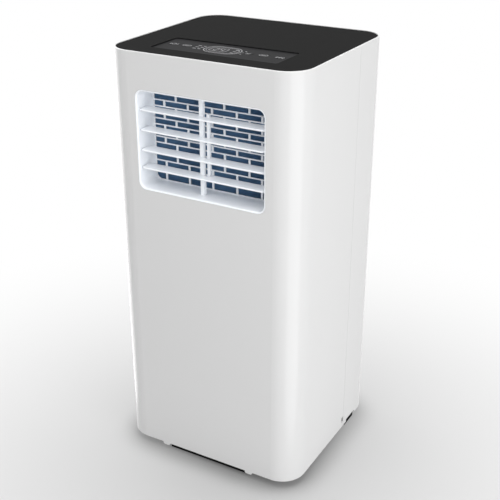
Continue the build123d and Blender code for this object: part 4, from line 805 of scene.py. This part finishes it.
@dataclass
class FilterNet(Assembly):
    """Pleated net across the windows of the air filter's frame."""

    node: str = "air_filter"
    border: float = 4.0 * MM
    folds: int = 40
    fold_depth: float = 0.5 * MM
    thickness: float = 0.3 * MM
    finish: Net = Net(ink(64, 68, 76))

    def build(self) -> list[Piece]:
        """Fold a strip of net from side to side.

        Returns:
            The net.
        """
        low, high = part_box(self.node)
        start = Vector((low.x + self.border, (low.y + high.y) / 2, low.z + self.border))
        step = Vector(((high.x - low.x - 2 * self.border) / self.folds, 0, 0))
        side = Vector((0, self.fold_depth, 0))
        height = high.z - low.z - 2 * self.border
        net = Shaper.pleat("filter_net", start, step, side, height, self.folds)
        Shaper.modify(net, "SOLIDIFY", {"thickness": self.thickness, "offset": 0.0})
        return [net]

    def dress(self, pieces: list[Piece], dresser: Dresser) -> None:
        """Finish the net and let it move with the intake panel.

        Args:
            pieces: the net.
            dresser: gives the finishes.
        """
        for net in pieces:
            dresser.dress(net, "filter_net", self.finish)
            Shaper.keep(net, Body.INTAKE_PANEL, Slot.FILTER_MESH)


@dataclass(frozen=True)
class Pen:
    """Draws flat marks and sets them in a surface."""

    line: float = 0.9 * MM
    thickness: float = 0.05 * MM
    sunk: float = 0.02 * MM
    bar_rounding: float = 0.45
    bar_segments: int = 4
    ring_segments: int = 10
    merge_distance: float = 0.001 * MM

    def blank(self, x: float, y: float, width: float, depth: float, turn: float) -> None:
        """Add a flat rectangle and open it for editing.

        Args:
            x: middle from side to side.
            y: middle from front to back.
            width: size along its own X.
            depth: size along its own Y.
            turn: turn about the upright axis, in radians.
        """
        Shaper.start()
        bpy.ops.mesh.primitive_plane_add(size=1, location=(x, y, 0), rotation=(0, 0, turn))
        bpy.context.object.scale = (width, depth, 1)
        bpy.ops.object.transform_apply(location=False, rotation=False, scale=True)
        Shaper.edit()

    def bar(self, x: float, y: float, width: float, depth: float, turn: float = 0.0) -> Piece:
        """Add a flat bar with rounded corners.

        Args:
            x: middle from side to side.
            y: middle from front to back.
            width: size along its own X.
            depth: size along its own Y.
            turn: turn about the upright axis, in radians.

        Returns:
            The bar, flat in its plane.
        """
        self.blank(x, y, width, depth, turn)
        radius = min(width, depth) * self.bar_rounding
        bpy.ops.mesh.bevel(offset=radius, segments=self.bar_segments, affect="VERTICES")
        return Shaper.settle("bar")

    def ring(self, x: float, y: float, width: float, depth: float, corner: float,
             line: Optional[float] = None) -> Piece:
        """Add a flat outline of a rounded rectangle, or a circle where the corners meet.

        Args:
            x: middle from side to side.
            y: middle from front to back.
            width: outer size from side to side.
            depth: outer size from front to back.
            corner: corner radius.
            line: width of the line, where it isn't the pen's own.

        Returns:
            The outline, flat in its plane.
        """
        self.blank(x, y, width, depth, 0.0)
        bpy.ops.mesh.bevel(offset=corner, segments=self.ring_segments, affect="VERTICES")
        bpy.ops.mesh.remove_doubles(threshold=self.merge_distance)
        bpy.ops.mesh.inset(thickness=line or self.line)
        bpy.ops.mesh.delete(type="FACE")
        return Shaper.settle("ring")

    def lay(self, marks: list[Piece], name: str, height: float) -> Piece:
        """Join marks and set them in a surface.

        Args:
            marks: the flat marks.
            name: name of the joined piece.
            height: height of the surface.

        Returns:
            The marks as one piece, a little proud of the surface.
        """
        Shaper.join(marks)
        Shaper.edit()
        bpy.ops.transform.translate(value=(0, 0, height - self.sunk))
        piece = Shaper.settle(name)
        Shaper.modify(piece, "SOLIDIFY", {"thickness": self.thickness, "offset": 1.0})
        return piece


def middle_of(node: str) -> tuple[float, float, float]:
    """Find where marks on a node are laid.

    Args:
        node: the node's name.

    Returns:
        Its middle from side to side and from front to back, and the height of its top.
    """
    low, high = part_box(node)
    return ((low.x + high.x) / 2, (low.y + high.y) / 2, high.z)


@dataclass
class KeyMarks(Assembly):
    """Symbols printed on the caps of the keys, mostly in shares of a symbol's size."""

    keys: tuple[Body, ...] = (
        Body.KEY_POWER, Body.KEY_TIMER, Body.KEY_DOWN, Body.KEY_UP, Body.KEY_MODE)
    pen: Pen = Pen()
    finish: Print = Print(ink(152, 152, 154))
    size: float = 7.4 * MM
    power_corner: float = 1 / 2.02
    power_stem_rise: float = 0.38
    power_stem: float = 0.5
    power_side: float = 0.82
    power_side_length: float = 0.8
    power_side_lines: float = 1.4
    pill_width: float = 14.0 * MM
    pill_depth: float = 7.4 * MM
    pill_corner: float = 1 / 2.05
    pill_bar: float = 0.55
    mode_gap: float = 0.64
    mode_ring: float = 0.9
    mode_corner: float = 0.44
    mode_bar: float = 0.6
    mode_bar_drop: float = 0.52
    down_arm: float = 0.7
    down_lean: float = math.radians(40)
    down_overlap: float = 0.82
    down_bar_drop: float = 0.45

    def power(self, x: float, y: float) -> list[Piece]:
        """Draw a ring with a stem, between two upright bars.

        Args:
            x: middle from side to side.
            y: middle from front to back.

        Returns:
            The flat marks.
        """
        size, line = self.size, self.pen.line
        marks = [
            self.pen.ring(x, y, size, size, size * self.power_corner),
            self.pen.bar(x, y + size * self.power_stem_rise, line, size * self.power_stem),
        ]
        width, length = line * self.power_side_lines, size * self.power_side_length
        for side in (-1, 1):
            marks.append(self.pen.bar(x + side * size * self.power_side, y, width, length))
        return marks

    def pill(self, x: float, y: float) -> list[Piece]:
        """Draw the outline of a pill with a bar in it.

        Args:
            x: middle from side to side.
            y: middle from front to back.

        Returns:
            The flat marks.
        """
        width, depth = self.pill_width, self.pill_depth
        return [
            self.pen.ring(x, y, width, depth, depth * self.pill_corner),
            self.pen.bar(x, y, width * self.pill_bar, self.pen.line),
        ]

    def mode(self, x: float, y: float) -> list[Piece]:
        """Draw three small rings, each over a bar.

        Args:
            x: middle from side to side.
            y: middle from front to back.

        Returns:
            The flat marks.
        """
        gap = self.size * self.mode_gap
        ring, corner = gap * self.mode_ring, gap * self.mode_corner
        foot = y - self.size * self.mode_bar_drop
        places = [x + gap * side for side in (-1, 0, 1)]
        marks = [self.pen.ring(place, y, ring, ring, corner) for place in places]
        bar = gap * self.mode_bar
        return marks + [self.pen.bar(place, foot, bar, self.pen.line) for place in places]

    def down(self, x: float, y: float) -> list[Piece]:
        """Draw two bars that meet in a point, over a level one.

        Args:
            x: middle from side to side.
            y: middle from front to back.

        Returns:
            The flat marks.
        """
        line, arm = self.pen.line, self.size * self.down_arm
        reach = arm / 2 * math.cos(self.down_lean) * self.down_overlap
        return [
            self.pen.bar(x - reach, y, arm, line, -self.down_lean),
            self.pen.bar(x + reach, y, arm, line, self.down_lean),
            self.pen.bar(x, y - self.size * self.down_bar_drop, self.size, line),
        ]

    def build(self) -> list[Piece]:
        """Draw each key's symbol on its cap.

        Returns:
            The symbols, in the order of the keys.
        """
        symbols = {
            Body.KEY_POWER: self.power,
            Body.KEY_TIMER: self.pill,
            Body.KEY_DOWN: self.down,
            Body.KEY_UP: self.pill,
            Body.KEY_MODE: self.mode,
        }
        pieces = []
        for key in self.keys:
            x, y, top = middle_of(key.value)
            pieces.append(self.pen.lay(symbols[key](x, y), f"{key.value}_mark", top))
        return pieces

    def dress(self, pieces: list[Piece], dresser: Dresser) -> None:
        """Finish the symbols and let them move with their keys.

        Args:
            pieces: the symbols, in the order of the keys.
            dresser: gives the finishes.
        """
        for key, mark in zip(self.keys, pieces):
            dresser.dress(mark, "key_print", self.finish)
            Shaper.keep(mark, key, Slot.KEY_CAP)


@dataclass
class DisplayMarks(Assembly):
    """Rings, figures and bar scales printed on the display and on the fascia beside it."""

    node: str = "display_window"
    pen: Pen = Pen()
    finish: Print = Print(ink(152, 152, 154))
    figure_finish: Print = Print(ink(156, 156, 158))
    ring_insets: tuple[float, float] = (0.8 * MM, 4.6 * MM)
    ring_lines: tuple[float, float] = (1.1 * MM, 0.7 * MM)
    ring_corner: float = 1 / 2.04
    frame_width: float = 28 * MM
    frame_depth: float = 18 * MM
    frame_corner: float = 4 * MM
    row_gap: float = 8.5 * MM
    row_depth: float = 2.0 * MM
    inner_row_inset: float = 11 * MM
    inner_row_width: float = 5 * MM
    left_row_gap: float = 4.5 * MM
    left_row_width: float = 5 * MM
    outer_row_step: float = 8 * MM
    outer_row_width: float = 6 * MM
    right_row_gap: float = 3.6 * MM
    right_row_width: float = 3 * MM
    text: str = "24"
    figure_shift: float = -6.0 * MM
    figure_height: float = 11 * MM
    figure_width: float = 0.5
    figure_stroke: float = 0.11
    figure_step: float = 0.85
    upright_length: float = 0.82
    level_length: float = 0.78

    def rows(self, x: float, y: float, width: float) -> list[Piece]:
        """Short bars in three rows."""
        places = [y + row * self.row_gap for row in (-1, 0, 1)]
        return [self.pen.bar(x, place, width, self.row_depth) for place in places]

    def rings(self) -> Piece:
        """Draw the rings of the display, the frame of its figures and a row of bars.

        Returns:
            The marks, as one piece.
        """
        low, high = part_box(self.node)
        x, y, top = middle_of(self.node)
        marks = []
        for inset, line in zip(self.ring_insets, self.ring_lines):
            width, depth = high.x - low.x - 2 * inset, high.y - low.y - 2 * inset
            corner = min(width, depth) * self.ring_corner
            marks.append(self.pen.ring(x, y, width, depth, corner, line))
        marks.append(self.pen.ring(
            x + self.figure_shift, y, self.frame_width, self.frame_depth, self.frame_corner))
        marks += self.rows(high.x - self.inner_row_inset, y, self.inner_row_width)
        return self.pen.lay(marks, "display_rings", top)

    def scales(self) -> Piece:
        """Draw rows of short bars on the fascia, left and right of the display.

        Returns:
            The marks, as one piece.
        """
        low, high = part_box(self.node)
        _, y, top = middle_of(self.node)
        left, right = low.x - self.left_row_gap, high.x + self.right_row_gap
        marks = self.rows(left, y, self.left_row_width)
        marks += self.rows(left - self.outer_row_step, y, self.outer_row_width)
        marks += self.rows(right, y, self.right_row_width)
        return self.pen.lay(marks, "scale_marks", top)

    def figures(self) -> Piece:
        """Draw the plain figures, of up to seven bars each.

        Returns:
            The figures, as one piece.
        """
        # Bars a, g and d lie level, from the top down, and the other four stand beside them.
        lit = {"2": "abged", "4": "fgbc"}
        middle, y, top = middle_of(self.node)
        half, width = self.figure_height / 2, self.figure_height * self.figure_width
        stroke = self.figure_height * self.figure_stroke
        level = (width * self.level_length, stroke)
        upright = (stroke, half * self.upright_length)
        bars = {
            "a": (0, half, level), "g": (0, 0, level), "d": (0, -half, level),
            "f": (-width / 2, half / 2, upright), "b": (width / 2, half / 2, upright),
            "e": (-width / 2, -half / 2, upright), "c": (width / 2, -half / 2, upright),
        }
        marks = []
        for place, figure in enumerate(self.text):
            steps = place - (len(self.text) - 1) / 2
            x = middle + self.figure_shift + steps * self.figure_height * self.figure_step
            for letter in lit[figure]:
                across, up, size = bars[letter]
                marks.append(self.pen.bar(x + across, y + up, *size))
        return self.pen.lay(marks, "display_figures", top)

    def build(self) -> list[Piece]:
        """Draw all the marks of the display.

        Returns:
            The rings, the scales and the figures.
        """
        return [self.rings(), self.scales(), self.figures()]

    def dress(self, pieces: list[Piece], dresser: Dresser) -> None:
        """Finish the marks and let them ride on the cabinet.

        Args:
            pieces: the rings, the scales and the figures.
            dresser: gives the finishes.
        """
        rings, scales, figures = pieces
        for mark in (rings, scales):
            dresser.dress(mark, "panel_print", self.finish)
            Shaper.keep(mark, Body.CABINET, Slot.FASCIA)
        dresser.dress(figures, "display_print", self.figure_finish)
        Shaper.keep(figures, Body.CABINET, Slot.DISPLAY_LENS)


@dataclass(frozen=True)
class PanelLamp:
    """A soft panel lamp that faces a point: sizes in metres, power in watts."""

    name: str
    place: Point
    width: float
    height: float
    power: float
    target: Point = (0.0, 0.0, 0.35)

    def hang(self) -> None:
        """Add the lamp to the scene, hidden from the camera."""
        data = bpy.data.lights.new(self.name, "AREA")
        data.shape = "RECTANGLE"
        data.size = self.width
        data.size_y = self.height
        data.energy = self.power
        lamp = bpy.data.objects.new(self.name, data)
        lamp.location = self.place
        heading = Vector(self.target) - Vector(self.place)
        lamp.rotation_euler = heading.to_track_quat("-Z", "Y").to_euler()
        lamp.visible_camera = False
        bpy.context.scene.collection.objects.link(lamp)


@dataclass(frozen=True)
class Viewpoint:
    """The photograph's viewpoint: place in metres, angles in degrees, lens in millimetres."""

    place: Point = (0.6825, -1.2007, 0.9718)
    tilt: float = 65.02
    roll: float = 0.05
    turn: float = 29.58
    lens: float = 67.49
    sensor: float = 36.0

    def set_camera(self) -> None:
        """Put the scene's camera there."""
        data = bpy.data.cameras.new("camera")
        data.sensor_width = self.sensor
        data.lens = self.lens
        camera = bpy.data.objects.new("camera", data)
        camera.location = self.place
        camera.rotation_euler = [math.radians(a) for a in (self.tilt, self.roll, self.turn)]
        bpy.context.scene.collection.objects.link(camera)
        bpy.context.scene.camera = camera


@dataclass
class Studio:
    """Pale floor, white surroundings, soft lamps and the camera."""

    floor_size: float = 30.0
    floor_cuts: int = 8
    floor_tone: Colour = grey(193)
    fade_and_shade_middle: Point = (0.06, -0.17, 0.0)
    fade_start: float = -0.15
    fade_end: float = 0.98
    contact_reach: float = 0.05
    painted_shadow_tone: float = 0.5
    contact_start: float = 0.5
    contact_end: float = 1.0
    ambient: float = 0.5
    viewpoint: Viewpoint = Viewpoint()
    lamps: tuple[PanelLamp, ...] = (
        PanelLamp("key", (1.42, -0.74, 0.2), width=1.45, height=2.3, power=29.0,
                  target=(0.0, 0.0, 0.2)),
        PanelLamp("front", (-0.4, -1.2, 2.0), width=1.4, height=1.4, power=11.5),
        PanelLamp("left", (-1.545, 0.414, 0.35), width=1.4, height=2.6, power=17.0),
        PanelLamp("top", (0.0, 0.3, 2.4), width=2.0, height=2.0, power=24.0),
    )

    def floor(self) -> None:
        """Lay a wide floor with painted shade close to the object, fading to white away from it.
        """
        Shaper.start()
        cuts = self.floor_cuts
        bpy.ops.mesh.primitive_grid_add(
            x_subdivisions=cuts, y_subdivisions=cuts, size=self.floor_size)
        floor = bpy.context.object
        floor.name = "floor"
        material, bench = new_material("floor")
        self.floor_nodes(bench)
        floor.data.materials.append(material)
        floor.visible_glossy = False

    def floor_nodes(self, bench: Bench) -> None:
        """Mix the floor's tones: a painted contact shadow near the object, and a fade to white.

        Args:
            bench: adds the nodes.
        """
        # Painted contact shadow: a darker floor tone wherever ambient occlusion finds the object
        # close by.
        painted_shadow_colour = shade(self.floor_tone, self.painted_shadow_tone)
        dark = bench.node("ShaderNodeBsdfDiffuse", None, {"Color": painted_shadow_colour})
        pale = bench.node("ShaderNodeBsdfDiffuse", None, {"Color": self.floor_tone})
        reach = {"Distance": self.contact_reach}
        opening = bench.node("ShaderNodeAmbientOcclusion", None, reach, "AO")
        open_share = opening.ramp(self.contact_start, self.contact_end)
        ground = bench.node("ShaderNodeMixShader", None, {0: open_share, 1: dark, 2: pale})
        # The fade to white is measured from a point in front of the object, so the floor stays
        # greyer there: a white backdrop with painted shade in front.
        span = {0: bench.place(), 1: self.fade_and_shade_middle}
        distance = bench.node(
            "ShaderNodeVectorMath", {"operation": "DISTANCE"}, span, "Value")
        seen = bench.node("ShaderNodeLightPath", output="Is Camera Ray")
        fade = distance.ramp(self.fade_start, self.fade_end) * seen
        white = bench.node("ShaderNodeEmission", None, {"Color": WHITE, "Strength": 1.0})
        mixed = bench.node("ShaderNodeMixShader", None, {0: fade, 1: ground, 2: white})
        bench.node("ShaderNodeOutputMaterial", None, {"Surface": mixed})

    def surroundings(self) -> None:
        """White to the eye and in reflections, a plain soft light elsewhere."""
        world = bpy.data.worlds.new("studio")
        bpy.context.scene.world = world
        world.use_nodes = True
        bench = Bench(world.node_tree)
        seen = bench.node("ShaderNodeLightPath", output="Is Camera Ray")
        for ray in ("Is Glossy Ray", "Is Transmission Ray"):
            seen = seen.larger(bench.node("ShaderNodeLightPath", output=ray))
        soft, white = [
            bench.node("ShaderNodeBackground", None, {"Color": WHITE, "Strength": strength})
            for strength in (self.ambient, 1.0)
        ]
        mixed = bench.node("ShaderNodeMixShader", None, {0: seen, 1: soft, 2: white})
        bench.node("ShaderNodeOutputWorld", None, {"Surface": mixed})

    def build(self) -> None:
        """Set up the whole studio."""
        bpy.context.scene.view_settings.view_transform = "Standard"
        self.floor()
        self.surroundings()
        for lamp in self.lamps:
            lamp.hang()
        self.viewpoint.set_camera()


def main() -> None:
    """Dress the nodes, add the fine pieces in order, and set up the studio."""
    logging.basicConfig(level=logging.INFO, format="%(message)s")
    dresser = Dresser()
    dresser.dress_nodes()
    assemblies: tuple[Assembly, ...] = (
        FinPack("evaporator_fins", Slot.BLUE_FINS),
        FinPack("condenser_fins", Slot.ALUMINIUM_FINS),
        FilterNet(),
        KeyMarks(),
        DisplayMarks(),
    )
    for assembly in assemblies:
        pieces = assembly.build()
        assembly.dress(pieces, dresser)
        for piece in pieces:
            LOG.info("%s: %d faces", piece.name, len(piece.data.polygons))
    Studio().build()
    LOG.info("studio: floor, surroundings, lamps and camera")


if __name__ == "__main__":
    main()
